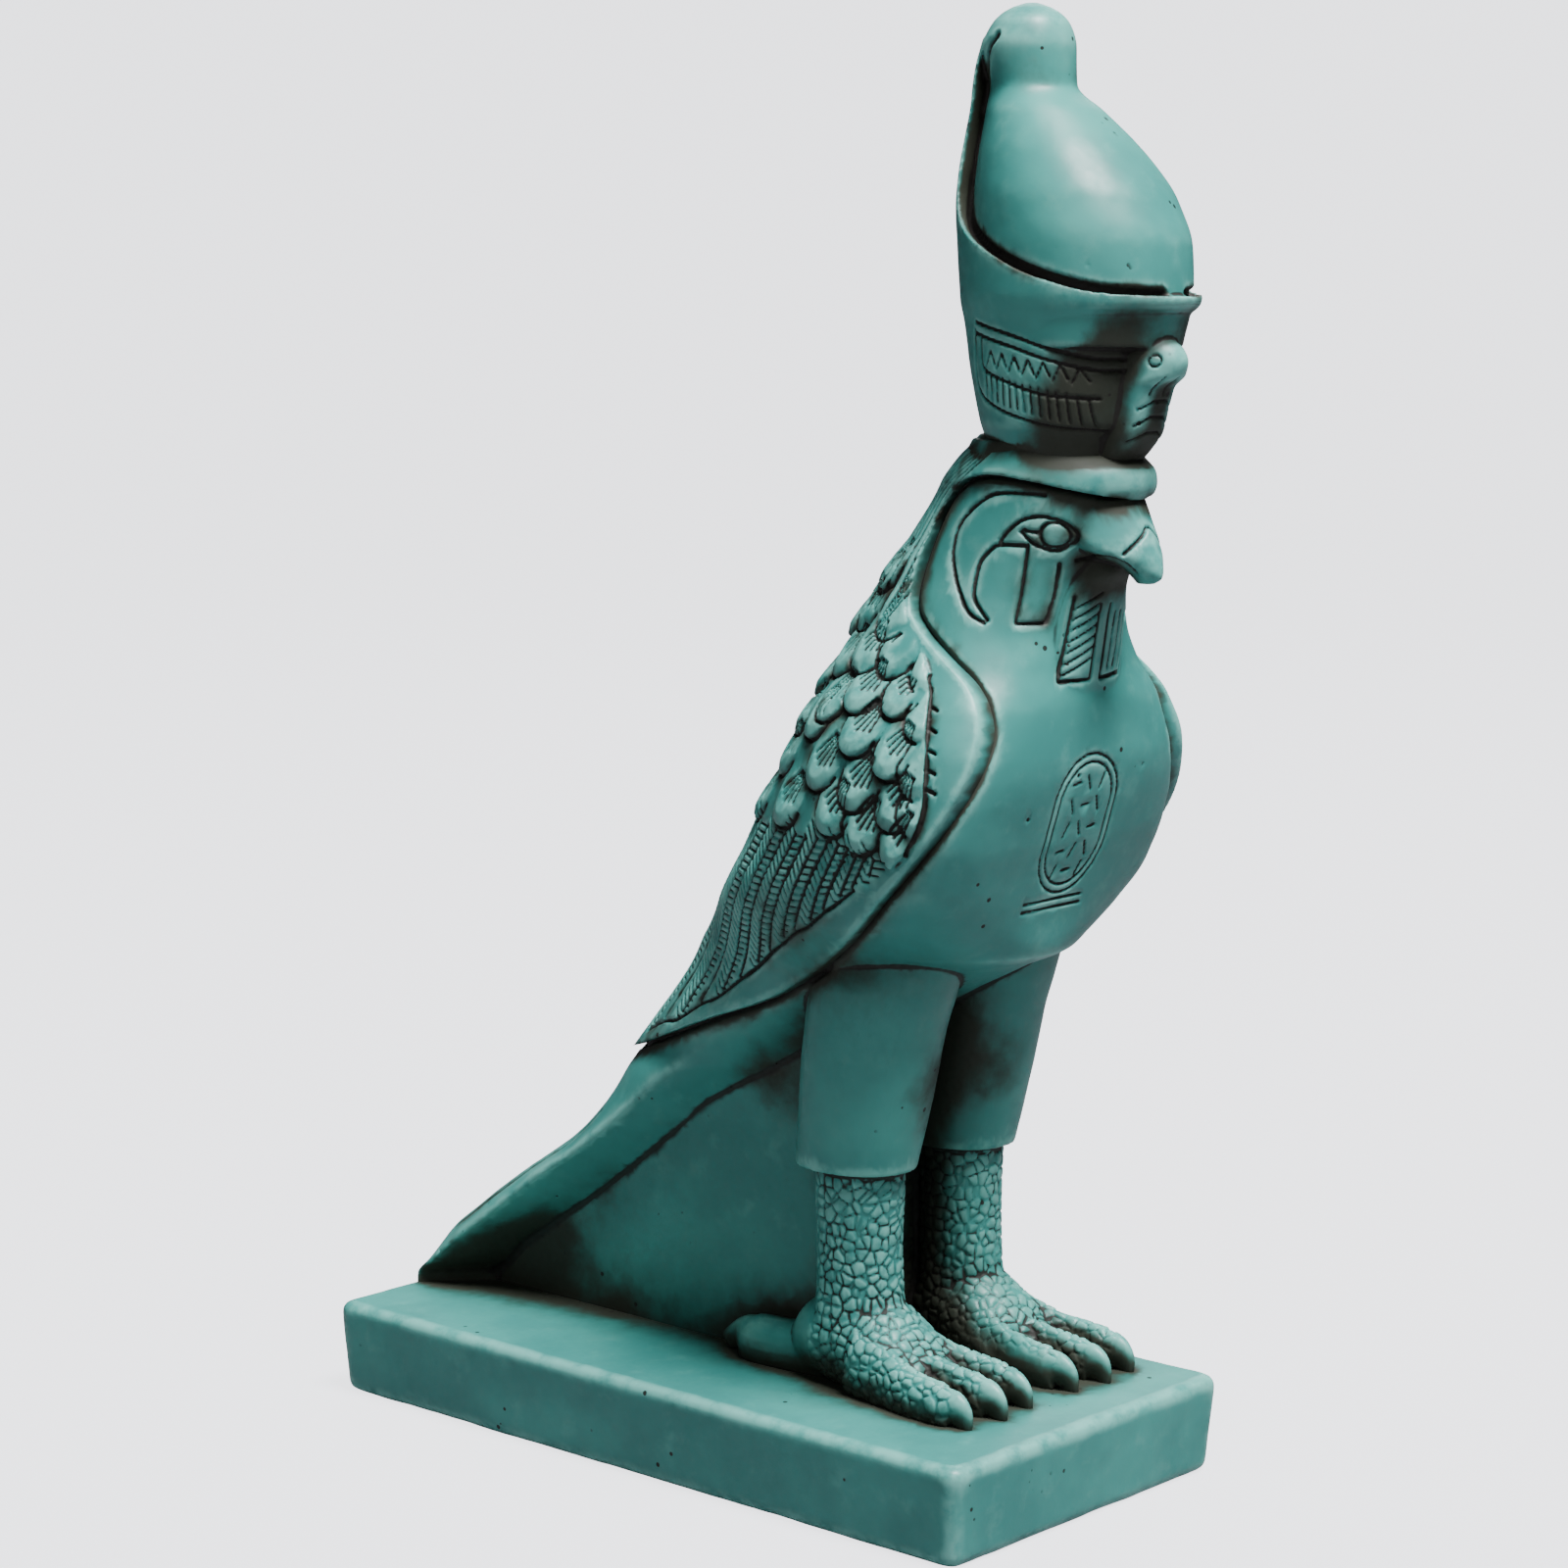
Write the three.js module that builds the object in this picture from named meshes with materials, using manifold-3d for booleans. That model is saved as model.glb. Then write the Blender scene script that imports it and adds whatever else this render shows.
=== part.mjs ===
// Falcon god in the double crown, standing on an oblong plinth, cast in one piece.
// Millimetres, +Z up. The bird looks along -Y and its right side is at -X.
// The origin is the middle of the plinth's underside.
//
// The figure is drawn in its own frame: u across from its middle plane, y along,
// h above the plinth's top, at the drawn height below. Its pose and carving are
// shares of that height, so the whole figure follows FIGURE_HEIGHT.

import * as THREE from 'three';
import { mergeVertices } from 'three/addons/utils/BufferGeometryUtils.js';
import Module from 'manifold-3d';

const wasm = await Module();
wasm.setup();

// Driving dimensions

const FIGURE_HEIGHT = 196.5; // plinth top to the top of the crown's knob
const FIGURE_OFFSET = 3.8; // the figure stands a little off the plinth's middle
const PLINTH_LENGTH = 124;
const PLINTH_WIDTH = 62;
const PLINTH_THICKNESS = 14.4;
const PLINTH_CORNER = 2.4; // radius of the upright corners
const PLINTH_EDGE = 1.6; // rounding of the top and bottom edges
const PLINTH_DRAFT = 0.8; // how far the sides lean in towards the underside

// Proportions of the figure at its drawn height

const DRAWN_HEIGHT = 196.5;
const CLOAK_STEP = 1.4; // the hood and wings stand this proud of the face and chest
const SINK = 1.2; // how deep feet, web and tail run into the plinth
const WEB_HALF = 9.3; // half the thickness of the web under the tail
const LEG_SPREAD = 11.5; // each leg's middle from the middle plane
const HEM_HEIGHT = 32.1; // where the leggings end above the scaly shanks
const TOE_SPREAD = 6.8; // between the middles of two toes at their tips
const TOE_HALF = 2.3;
const GROOVE_WIDTH = 0.75;
const GROOVE_DEPTH = 0.6;
const SCALE_WIDTH = 6.2; // one small feather of the wing's shoulder
const SCALE_LENGTH = 10.2;
const SCALE_PITCH = 5.4; // from one row of small feathers to the next
const SCALE_LIFT = 0.75; // how far a feather's tip stands off the wing
const QUILL_GAP = 0.8; // groove between two long feathers
const QUILL_LIFT = 0.55;
const RIM_GROOVE_WIDTH = 2; // the recess between the red crown's rim and the bulb
const QUILL_WIDTH = 5.2; // one long feather of the wing, with its groove
const TOE_TIP = -52.4; // how far forward the middle claws reach
const BODY_SIDES = 20;
const CROWN_SIDES = 18;
const LIMB_SIDES = 12;

const scale = FIGURE_HEIGHT / DRAWN_HEIGHT;
const figureFrame = new THREE.Matrix4()
  .makeTranslation(FIGURE_OFFSET, 0, PLINTH_THICKNESS)
  .scale(new THREE.Vector3(scale, scale, scale));

// Sections of head, chest, back and tail, from the tail's end up to the crown's seat.
// Each row: height, front, widest place, back, half width, fullness of front and back.

const BODY = [
  [-SINK, 44.0, 60.4, 61.9, 19.1, 1.0, 1.8],
  [1.4, 44.0, 60.4, 61.9, 19.1, 1.0, 1.8],
  [4.2, 41.1, 57.3, 62.0, 18.8, 1.0, 1.8],
  [7.6, 37.1, 53.4, 61.6, 18.2, 1.0, 1.8],
  [12.3, 28.2, 47.5, 56.9, 17.2, 1.0, 1.8],
  [20.1, 13.2, 37.5, 46.4, 16.1, 1.0, 1.8],
  [26.7, 4.6, 27.8, 36.8, 15.4, 1.0, 1.8],
  [34.6, -7.8, 18.4, 29.4, 14.5, 1.0, 1.9],
  [39.6, -13.0, 13.0, 26.4, 14.2, 1.2, 2.0],
  [43.6, -16.0, 7.0, 23.6, 14.0, 1.5, 2.0],
  [49.6, -21.0, -2.0, 18.4, 15.4, 1.8, 2.0],
  [55.6, -32.0, -13.0, 13.8, 16.9, 1.8, 2.0],
  [58.6, -37.4, -19.0, 11.8, 18.2, 1.8, 2.0],
  [61.6, -43.4, -23.0, 9.8, 19.8, 1.8, 2.0],
  [64.6, -49.2, -28.0, 6.7, 22.0, 2.0, 2.15],
  [70.3, -50.4, -34.0, 2.1, 25.8, 2.8, 2.3],
  [76.2, -52.0, -38.0, -2.9, 27.6, 3.8, 2.4],
  [82.3, -54.2, -40.0, -6.7, 27.8, 4.0, 2.4],
  [94.3, -56.8, -41.6, -14.0, 26.2, 3.8, 2.4],
  [100.3, -56.8, -41.0, -16.9, 23.6, 3.3, 2.35],
  [106.0, -56.2, -40.6, -19.5, 20.2, 2.6, 2.25],
  [110.6, -56.2, -40.6, -21.3, 18.0, 2.3, 2.12],
  [114.6, -56.8, -41.0, -23.0, 16.4, 2.3, 2.0],
  [119.6, -58.0, -42.8, -26.9, 14.6, 2.4, 2.0],
  [125.0, -60.4, -44.8, -30.0, 13.2, 2.4, 2.0],
  [130.6, -61.6, -47.0, -33.6, 12.0, 2.2, 2.0],
  [137.0, -60.0, -49.0, -37.5, 11.0, 2.0, 2.0],
];

// The hood above the neck, down to the roll of the brow; below it follows the body.

const HOOD_FROM = 118.6;
const HOOD = [
  [118.6, -58.8, -42.5, -24.2, 16.8, 2.4, 2.0],
  [124.0, -61.6, -44.6, -27.9, 14.8, 2.2, 2.0],
  [129.0, -63.6, -46.6, -31.2, 13.3, 1.85, 2.0],
  [131.2, -64.6, -47.2, -32.6, 13.1, 1.85, 2.0],
  [132.8, -64.4, -47.9, -33.8, 12.6, 1.85, 2.0],
  [134.4, -62.8, -48.6, -35.1, 11.8, 1.85, 2.0],
  [136.0, -59.6, -49.6, -36.8, 11.0, 2.0, 2.0],
  [137.6, -57.5, -50.0, -38.2, 10.0, 2.0, 2.0],
];

// The red crown with its tall back plate, and the white crown's bulb inside it.

const RED_CROWN = [
  [134.8, -60.6, -51.0, -40.2, 10.4, 2.1, 2.0],
  [137.8, -61.6, -51.0, -39.5, 11.5, 2.1, 2.0],
  [139.6, -63.2, -51.0, -39.1, 12.3, 2.1, 2.0],
  [146.0, -64.4, -51.2, -37.4, 13.0, 2.1, 2.0],
  [151.2, -64.8, -51.5, -36.2, 13.1, 2.1, 2.0],
  [153.8, -67.4, -52.0, -35.7, 13.6, 2.1, 2.0],
  [155.8, -70.2, -52.0, -35.3, 14.1, 2.1, 2.0],
  [157.2, -70.4, -52.0, -35.2, 14.3, 2.1, 2.0],
  [163.6, -69.2, -52.0, -34.6, 14.4, 2.1, 2.0],
  [169.6, -66.0, -50.0, -34.2, 13.6, 2.1, 2.0],
  [175.6, -60.6, -48.0, -34.5, 11.8, 2.1, 2.0],
  [181.6, -54.0, -45.0, -35.2, 8.9, 2.1, 2.0],
  [187.6, -49.0, -42.5, -36.0, 7.2, 2.1, 2.0],
  [191.6, -47.0, -41.5, -37.0, 5.6, 2.1, 2.0],
];

// Its rim in side view, from the brim in front to the top of the back plate.

const RIM = [
  [-80, 156.6], [-72, 156.7], [-65, 157.2], [-59, 158.6], [-52, 160.8], [-45.6, 163.4],
  [-41, 166], [-38.4, 169.5], [-37.8, 174], [-37.9, 182], [-38.6, 189], [-40.4, 191.6],
];

const BULB = [
  [150.0, -67.6, -54.0, -37.6, 12.6, 2.0, 2.0],
  [157.6, -69.0, -54.0, -37.2, 13.5, 2.0, 2.0],
  [163.6, -68.6, -54.0, -37.0, 13.7, 2.0, 2.0],
  [169.6, -66.0, -53.0, -37.0, 13.1, 2.0, 2.0],
  [175.6, -61.2, -50.5, -37.3, 11.2, 2.0, 2.0],
  [181.6, -54.6, -47.0, -37.8, 8.2, 2.0, 2.0],
  [185.4, -50.0, -44.4, -38.0, 6.2, 2.0, 2.0],
  [190.6, -49.8, -43.4, -37.0, 6.5, 2.0, 2.0],
  [193.6, -48.9, -43.6, -38.2, 5.4, 2.0, 2.0],
  [195.6, -46.9, -43.7, -40.4, 3.3, 2.0, 2.0],
  [196.5, -44.6, -43.7, -42.8, 0.9, 2.0, 2.0],
];

const URAEUS = [
  [134.4, -62.2, -59.0, -55.0, 4.2, 3.0, 2.0],
  [136.4, -64.0, -60.0, -56.0, 4.4, 3.2, 2.0],
  [138.4, -65.6, -60.0, -56.0, 4.6, 3.4, 2.0],
  [142.6, -66.8, -60.0, -56.0, 4.7, 3.4, 2.0],
  [144.6, -67.6, -61.0, -57.0, 4.7, 3.0, 2.0],
  [146.2, -70.0, -62.0, -58.0, 4.6, 2.2, 2.0],
  [148.0, -70.6, -62.0, -58.0, 4.6, 2.0, 2.0],
  [149.8, -69.8, -62.0, -58.0, 4.2, 2.0, 2.0],
  [151.4, -67.4, -62.0, -58.0, 3.2, 2.0, 2.0],
];

const BEAK = [
  [117.8, -66.2, -65.0, -63.6, 0.7, 1.8, 2.0],
  [118.6, -67.6, -65.2, -63.0, 1.5, 1.7, 2.0],
  [119.4, -67.7, -65.0, -62.2, 2.3, 1.6, 2.0],
  [120.6, -67.5, -64.0, -60.4, 3.5, 1.5, 2.0],
  [121.6, -67.1, -62.4, -56.0, 5.2, 1.5, 2.0],
  [122.6, -66.6, -60.5, -54.0, 6.6, 1.5, 2.0],
  [124.4, -65.9, -58.8, -53.0, 7.4, 1.5, 2.0],
  [126.8, -64.5, -57.8, -52.0, 7.4, 1.6, 2.0],
  [129.6, -62.8, -57.0, -52.0, 7.0, 1.8, 2.0],
];

// The flat throat, with the lower jaw at its top tucked under the beak.

const JAW = [
  [101.0, -56.4, -52.0, -48.0, 8.4, 3.4, 2.0],
  [107.0, -57.4, -52.0, -48.0, 8.0, 3.4, 2.0],
  [113.0, -58.2, -52.0, -48.0, 7.6, 3.2, 2.0],
  [117.0, -59.4, -53.0, -48.0, 6.8, 2.6, 2.0],
  [119.6, -61.0, -54.0, -49.0, 5.4, 2.2, 2.0],
  [121.6, -60.6, -55.0, -50.0, 4.4, 2.0, 2.0],
];

// Legs, in the same form as the body but about their own middle.

const LEGGING = [
  [HEM_HEIGHT, -33.2, -23.9, -15.4, 7.8, 2.2, 2.2],
  [38.6, -34.8, -25.0, -15.8, 8.5, 2.2, 2.2],
  [44.6, -36.2, -26.0, -16.2, 8.8, 2.2, 2.2],
  [52.6, -37.9, -27.6, -17.0, 9.0, 2.2, 2.2],
  [58.6, -39.8, -29.0, -18.0, 9.2, 2.2, 2.2],
  [66.6, -43.4, -31.0, -19.5, 8.4, 2.2, 2.2],
];
const SHANK = [
  [5.0, -33.6, -25.0, -17.6, 6.4, 2.2, 2.2],
  [14.6, -31.8, -25.0, -18.8, 5.7, 2.2, 2.2],
  [22.6, -31.4, -25.0, -18.6, 5.8, 2.2, 2.2],
  [36.0, -31.8, -25.0, -18.2, 6.1, 2.2, 2.2],
];

/** Value between rows without overshoot: cubic, with slopes that die at turning points. */
function between(rows, h) {
  let i = 0;
  while (i < rows.length - 2 && h > rows[i + 1][0]) i += 1;
  const slope = (a, b, k) => (rows[b][k] - rows[a][k]) / (rows[b][0] - rows[a][0]);
  const tangent = (j, k) => {
    if (j === 0) return slope(0, 1, k);
    if (j === rows.length - 1) return slope(j - 1, j, k);
    const [before, after] = [slope(j - 1, j, k), slope(j, j + 1, k)];
    return before * after > 0 ? (2 * before * after) / (before + after) : 0;
  };
  const span = rows[i + 1][0] - rows[i][0];
  const t = (h - rows[i][0]) / span;
  return rows[i].map((start, k) => {
    if (k === 0) return h;
    const end = rows[i + 1][k];
    return (2 * t ** 3 - 3 * t ** 2 + 1) * start + (t ** 3 - 2 * t ** 2 + t) * span * tangent(i, k)
      + (3 * t ** 2 - 2 * t ** 3) * end + (t ** 3 - t ** 2) * span * tangent(i + 1, k);
  });
}

/** Point of a section at an angle: 0 is +u, a quarter turn is the back. */
function onSection([h, front, wide, back, half, fullFront, fullBack], angle) {
  const [c, s] = [Math.cos(angle), Math.sin(angle)];
  const power = 2 / (s < 0 ? fullFront : fullBack);
  const depth = s < 0 ? wide - front : back - wide;
  return new THREE.Vector3(
    half * Math.sign(c) * Math.abs(c) ** power,
    wide + depth * Math.sign(s) * Math.abs(s) ** power,
    h,
  );
}

/** The rows grown outwards all round, or shrunk where the step is negative. */
function grown(rows, step) {
  return rows.map(([h, front, wide, back, half, ...full]) => (
    [h, front - step, wide, back + step, half + step, ...full]));
}

/** Closed skin over a stack of rings that all have the same number of points. */
function skin(rings) {
  const count = rings[0].length;
  const points = rings.flat();
  const faces = [];
  const bottom = points.push(middle(rings[0])) - 1;
  const top = points.push(middle(rings.at(-1))) - 1;
  for (let i = 0; i < count; i += 1) {
    const next = (i + 1) % count;
    const last = (rings.length - 1) * count;
    faces.push(bottom, next, i, top, last + i, last + next);
    for (let r = 0; r < rings.length - 1; r += 1) {
      const [low, high] = [r * count, (r + 1) * count];
      faces.push(low + i, low + next, high + next, low + i, high + next, high + i);
    }
  }
  const geometry = new THREE.BufferGeometry();
  geometry.setAttribute('position', new THREE.Float32BufferAttribute(
    points.flatMap((p) => [p.x, p.y, p.z]), 3));
  geometry.setIndex(faces);
  return geometry;
}

function middle(ring) {
  return ring.reduce((sum, p) => sum.add(p), new THREE.Vector3()).divideScalar(ring.length);
}

/** Closed body over section rows, with extra rings where rows lie far apart. */
function stack(rows, { sides = BODY_SIDES, step = 8, across = 0 } = {}) {
  const heights = rows.slice(1).flatMap(([high], i) => {
    const low = rows[i][0];
    const parts = Math.max(1, Math.round((high - low) / step));
    return Array.from({ length: parts }, (_, n) => low + (n * (high - low)) / parts);
  });
  heights.push(rows.at(-1)[0]);
  const rings = heights.map((h) => Array.from({ length: sides }, (_, n) => {
    const point = onSection(between(rows, h), (2 * Math.PI * n) / sides);
    point.x += across;
    return point;
  }));
  return skin(rings);
}

/** Limb along a path of [u, y, h, half width, half height] points. */
function limb(path, sides = 7) {
  const places = path.map(([u, y, h]) => new THREE.Vector3(u, y, h));
  const rings = places.map((place, i) => {
    const along = places[Math.min(i + 1, places.length - 1)].clone()
      .sub(places[Math.max(i - 1, 0)]).normalize();
    const side = new THREE.Vector3(1, 0, 0).addScaledVector(along, -along.x).normalize();
    const up = new THREE.Vector3().crossVectors(along, side);
    return Array.from({ length: sides }, (_, n) => {
      const angle = (2 * Math.PI * n) / sides;
      return place.clone()
        .addScaledVector(side, path[i][3] * Math.cos(angle))
        .addScaledVector(up, path[i][4] * Math.sin(angle));
    });
  });
  return skin(rings);
}

/** Solid in the part's frame from a geometry in the figure's frame. */
function cast(geometry) {
  return toSolid(geometry.clone().applyMatrix4(figureFrame));
}

function toSolid(geometry) {
  const plain = geometry.clone();
  plain.deleteAttribute('normal');
  plain.deleteAttribute('uv');
  const merged = mergeVertices(plain, 1e-5);
  return new wasm.Manifold(new wasm.Mesh({
    numProp: 3,
    vertProperties: new Float32Array(merged.attributes.position.array),
    triVerts: new Uint32Array(merged.index.array),
  }));
}

const join = (solids) => wasm.Manifold.union(solids);

/** Outline in side view, [y, h] points, run across the figure from one u to another. */
function sideways(outline, from, to) {
  const shape = new THREE.Shape(outline.map(([y, h]) => new THREE.Vector2(y, h)));
  const geometry = new THREE.ExtrudeGeometry(shape, { depth: to - from, bevelEnabled: false });
  geometry.applyMatrix4(new THREE.Matrix4().makeBasis(
    new THREE.Vector3(0, 1, 0), new THREE.Vector3(0, 0, 1), new THREE.Vector3(1, 0, 0)));
  return geometry.translate(from, 0, 0);
}

/** Outline seen from the front, [u, h] points, run back from y = from to y = to. */
function endways(outline, from, to) {
  const shape = new THREE.Shape(outline.map(([u, h]) => new THREE.Vector2(u, h)));
  const geometry = new THREE.ExtrudeGeometry(shape, { depth: to - from, bevelEnabled: false });
  geometry.applyMatrix4(new THREE.Matrix4().makeBasis(
    new THREE.Vector3(1, 0, 0), new THREE.Vector3(0, 0, 1), new THREE.Vector3(0, -1, 0)));
  return geometry.translate(0, to, 0);
}

/** Points of a smooth line through the given ones. */
function smooth(points, parts, closed = false) {
  const curve = new THREE.CatmullRomCurve3(
    points.map(([a, b]) => new THREE.Vector3(a, b, 0)), closed, 'centripetal');
  const line = curve.getPoints(parts).map((p) => [p.x, p.y]);
  return closed ? line.slice(0, -1) : line;
}

/** Outline of a groove that follows a line at a given width. */
function ribbon(line, width = GROOVE_WIDTH) {
  const offset = (side) => line.map(([a, b], i) => {
    const [a0, b0] = line[Math.max(i - 1, 0)];
    const [a1, b1] = line[Math.min(i + 1, line.length - 1)];
    const length = Math.hypot(a1 - a0, b1 - b0);
    const reach = (side * width) / 2 / length;
    return [a - (b1 - b0) * reach, b + (a1 - a0) * reach];
  });
  return [...offset(-1), ...offset(1).reverse()];
}

/** Area on one side of a line in side view: closed behind the line, at a given height. */
function closedAt(line, behind, height) {
  return [...line, [behind, line.at(-1)[1]], [behind, height], [line[0][0], height]];
}

/** Both the outline and its mirror image across the figure's middle plane. */
function bothSides(outline, from, to) {
  return [cast(sideways(outline, from, to)), cast(sideways(outline, -to, -from))];
}

// Body, hood and wings

const cloakRows = [
  ...grown(BODY.filter(([h]) => h > 34 && h < HOOD_FROM), CLOAK_STEP),
  ...HOOD,
];
const core = cast(stack(BODY));

// Edge of the cloak in side view: under the brow roll, round the face, down the front
// of the wing to its tip over the tail. The cloak lies above and behind it.
const CLOAK_EDGE = [
  [-80, 128.5], [-65.6, 128.6], [-62.4, 129.7], [-55, 131.5], [-47.6, 132.4], [-42, 131.2],
  [-38.6, 127.2], [-36.9, 120], [-37.6, 114.4], [-40.6, 111.2], [-46.4, 107.2],
  [-50.8, 104], [-53.4, 100.6], [-54.5, 96], [-53.6, 90.6], [-50, 83.6], [-44, 76.6],
  [-35.6, 69], [-25.7, 62.5], [-13.6, 56], [-0.3, 51], [11.6, 46.3], [23.1, 42.1],
];
const CLOAK_BACK = 34;
const CLOAK_TOP = 140;
const CLOAK_REACH = 40; // past both sides of the figure
const cloakSide = closedAt(smooth(CLOAK_EDGE, 25), CLOAK_BACK, CLOAK_TOP);
const cloak = cast(stack(cloakRows))
  .intersect(cast(sideways(cloakSide, -CLOAK_REACH, CLOAK_REACH)));

// Small feathers lie on the wing like shingles: the root is flush and the tip lifts.

function shingle(angle, h, width, length, lift) {
  const on = (a, b) => onSection(between(cloakRows, b), a);
  const place = on(angle, h);
  const across = on(angle + 0.02, h).sub(on(angle - 0.02, h)).normalize();
  const up = on(angle, h + 0.4).sub(on(angle, h - 0.4)).normalize();
  const out = new THREE.Vector3().crossVectors(across, up).normalize();
  const outline = [[-0.4, 0.5], [-0.5, -0.1], [0, -0.5], [0.5, -0.1], [0.4, 0.5]];
  const layer = (height) => outline.map(([a, b]) => place.clone()
    .addScaledVector(across, a * width)
    .addScaledVector(up, b * length)
    .addScaledVector(out, height(b)));
  return skin([layer(() => -1.6), layer((b) => lift * (0.45 - b))]);
}

const SCALE_ROWS = 5;
const SCALES_IN_ROW = 9;
const SCALE_TOP = 105.4; // middle of the uppermost row
const SCALE_FRONT = -45.6; // front border of the rows
const LAST_SCALE_ANGLE = 1.22; // the back itself stays plain
const feathers = [];
for (let row = 0; row < SCALE_ROWS; row += 1) {
  const h = SCALE_TOP - row * SCALE_PITCH;
  const section = between(cloakRows, h);
  const frontEdge = SCALE_FRONT + 1.2 * Math.sin(row * 0.4);
  for (let n = 0; n < SCALES_IN_ROW; n += 1) {
    const y = frontEdge + SCALE_WIDTH * (0.5 + n + (row % 2) / 2);
    const angle = backAngle(section, y);
    if (angle > LAST_SCALE_ANGLE) break;
    feathers.push(shingle(angle, h, SCALE_WIDTH * 0.96, SCALE_LENGTH, SCALE_LIFT));
    feathers.push(shingle(Math.PI - angle, h, SCALE_WIDTH * 0.96, SCALE_LENGTH, SCALE_LIFT));
  }
}

/** Angle at which a section reaches a given y on its +u side. */
function backAngle([, front, wide, back, , fullFront, fullBack], y) {
  const share = y < wide ? (wide - y) / (wide - front) : (y - wide) / (back - wide);
  const full = y < wide ? fullFront : fullBack;
  const angle = Math.asin(Math.min(1, share) ** (full / 2));
  return y < wide ? -angle : angle;
}

// Long feathers run from under the small ones to the wing's tip.

const QUILLS = 6;
const FIRST_QUILL = { root: [-38, 79.5], tip: [-24, 68.4] };
const LAST_QUILL = { root: [-9, 78.5], tip: [20, 46.9] };
const mixed = (from, to, share) => from.map((start, i) => start + (to[i] - start) * share);
const quillSkin = cast(stack(grown(cloakRows, QUILL_LIFT)));
const quills = [];
for (let n = 0; n < QUILLS; n += 1) {
  const share = n / (QUILLS - 1);
  const root = mixed(FIRST_QUILL.root, LAST_QUILL.root, share);
  const tip = mixed(FIRST_QUILL.tip, LAST_QUILL.tip, share);
  const along = [tip[0] - root[0], tip[1] - root[1]];
  const length = Math.hypot(...along);
  const side = [-along[1] / length, along[0] / length];
  const wide = (QUILL_WIDTH - QUILL_GAP) / 2;
  const at = (t, s) => [root[0] + along[0] * t + side[0] * s, root[1] + along[1] * t + side[1] * s];
  quills.push(...bothSides(
    [at(0, -wide), at(0.88, -wide * 0.8), at(1, 0), at(0.88, wide * 0.8), at(0, wide)],
    2, CLOAK_REACH));
}
const longFeathers = join(quills).intersect(quillSkin);

// Crown

const CROWN_BACK = -30;
const CROWN_FOOT = 134;
const CROWN_REACH = 30; // past both sides of the crown
const crownSide = closedAt(smooth(RIM, 15), CROWN_BACK, CROWN_FOOT);
const redCrown = cast(stack(RED_CROWN, { sides: CROWN_SIDES }))
  .intersect(cast(sideways(crownSide, -CROWN_REACH, CROWN_REACH)));
const rimGroove = ribbon(smooth([
  [-70, 158.2], [-66.4, 158.4], [-61.4, 159.3], [-54.6, 161.2], [-49.4, 163.1], [-44.6, 165.4],
], 5), RIM_GROOVE_WIDTH);
const bulb = cast(stack(BULB, { sides: CROWN_SIDES }))
  .subtract(shallow(bothSides(rimGroove, 1, CROWN_REACH), BULB, { sides: CROWN_SIDES }));
const uraeus = cast(stack(URAEUS, { sides: 12 }));
const beak = cast(stack(BEAK, { sides: 16, step: 2 }));
const jaw = cast(stack(JAW, { sides: 14, step: 3 }));

// Web under the tail, which carries the body from behind the legs

const WEB = [
  [-20.5, -SINK], [54, -SINK], [55, 4], [46, 11.6], [36, 19.6], [26, 26.6], [16, 34.6],
  [8, 41.6], [0, 47.6], [-14, 58], [-26, 60], [-22, 44], [-20.5, 30],
];
const web = cast(sideways(WEB, -WEB_HALF, WEB_HALF));

// Legs and feet

function leg(side) {
  const middleLine = side * LEG_SPREAD;
  const options = { sides: LIMB_SIDES, step: 8, across: middleLine };
  const legging = stack(LEGGING, options);
  const shank = stack(SHANK, options);
  const instep = limb([
    [middleLine, -16, 2.4, 3.6, 4.2], [middleLine, -20, 5.2, 5.6, 6.6],
    [middleLine, -26, 6.4, 6.6, 8.4], [middleLine, -31, 5, 7.4, 7.2],
    [side * (LEG_SPREAD + 0.3), -36, 3, 8.2, 5], [side * (LEG_SPREAD + 0.5), -40, 1.6, 8, 2.6],
  ], LIMB_SIDES);
  const toes = [-1, 0, 1].map((n) => {
    const root = side * (LEG_SPREAD + 0.4) + n * TOE_SPREAD * 0.72;
    const tip = side * (LEG_SPREAD + 0.7) + n * TOE_SPREAD;
    const claw = TOE_TIP + (n === 0 ? 0 : 0.9);
    return limb([
      [root, -29, 4.6, TOE_HALF + 0.2, 5.4], [(root + tip) / 2, -37, 2.8, TOE_HALF, 4.6],
      [tip, claw + 8.4, 2.3, TOE_HALF - 0.1, 3.9], [tip, claw + 4.4, 2.1, TOE_HALF - 0.1, 3.7],
      [tip, claw + 2.7, 2.3, TOE_HALF - 0.6, 2.9], [tip, claw + 1.2, 1.4, 1, 2.2],
      [tip, claw, -0.6, 0.5, 0.8],
    ]);
  });
  const hindToe = limb([
    [middleLine, -20, 3, 3.6, 4.6], [side * 12.4, -13, 2.4, 3.3, 4.5],
    [side * 12.8, -7, 2.4, 3.1, 4.4], [side * 12.6, -4.6, 2.8, 2.2, 3.4],
    [side * 12.2, -2.6, 2.6, 1.3, 2.3], [side * 11.8, 0.4, 1.0, 0.7, 1.5],
  ]);
  return [legging, shank, instep, ...toes, hindToe].map(cast);
}

// Carved lines, cut to an even depth into the face, throat, chest and crown

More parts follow.
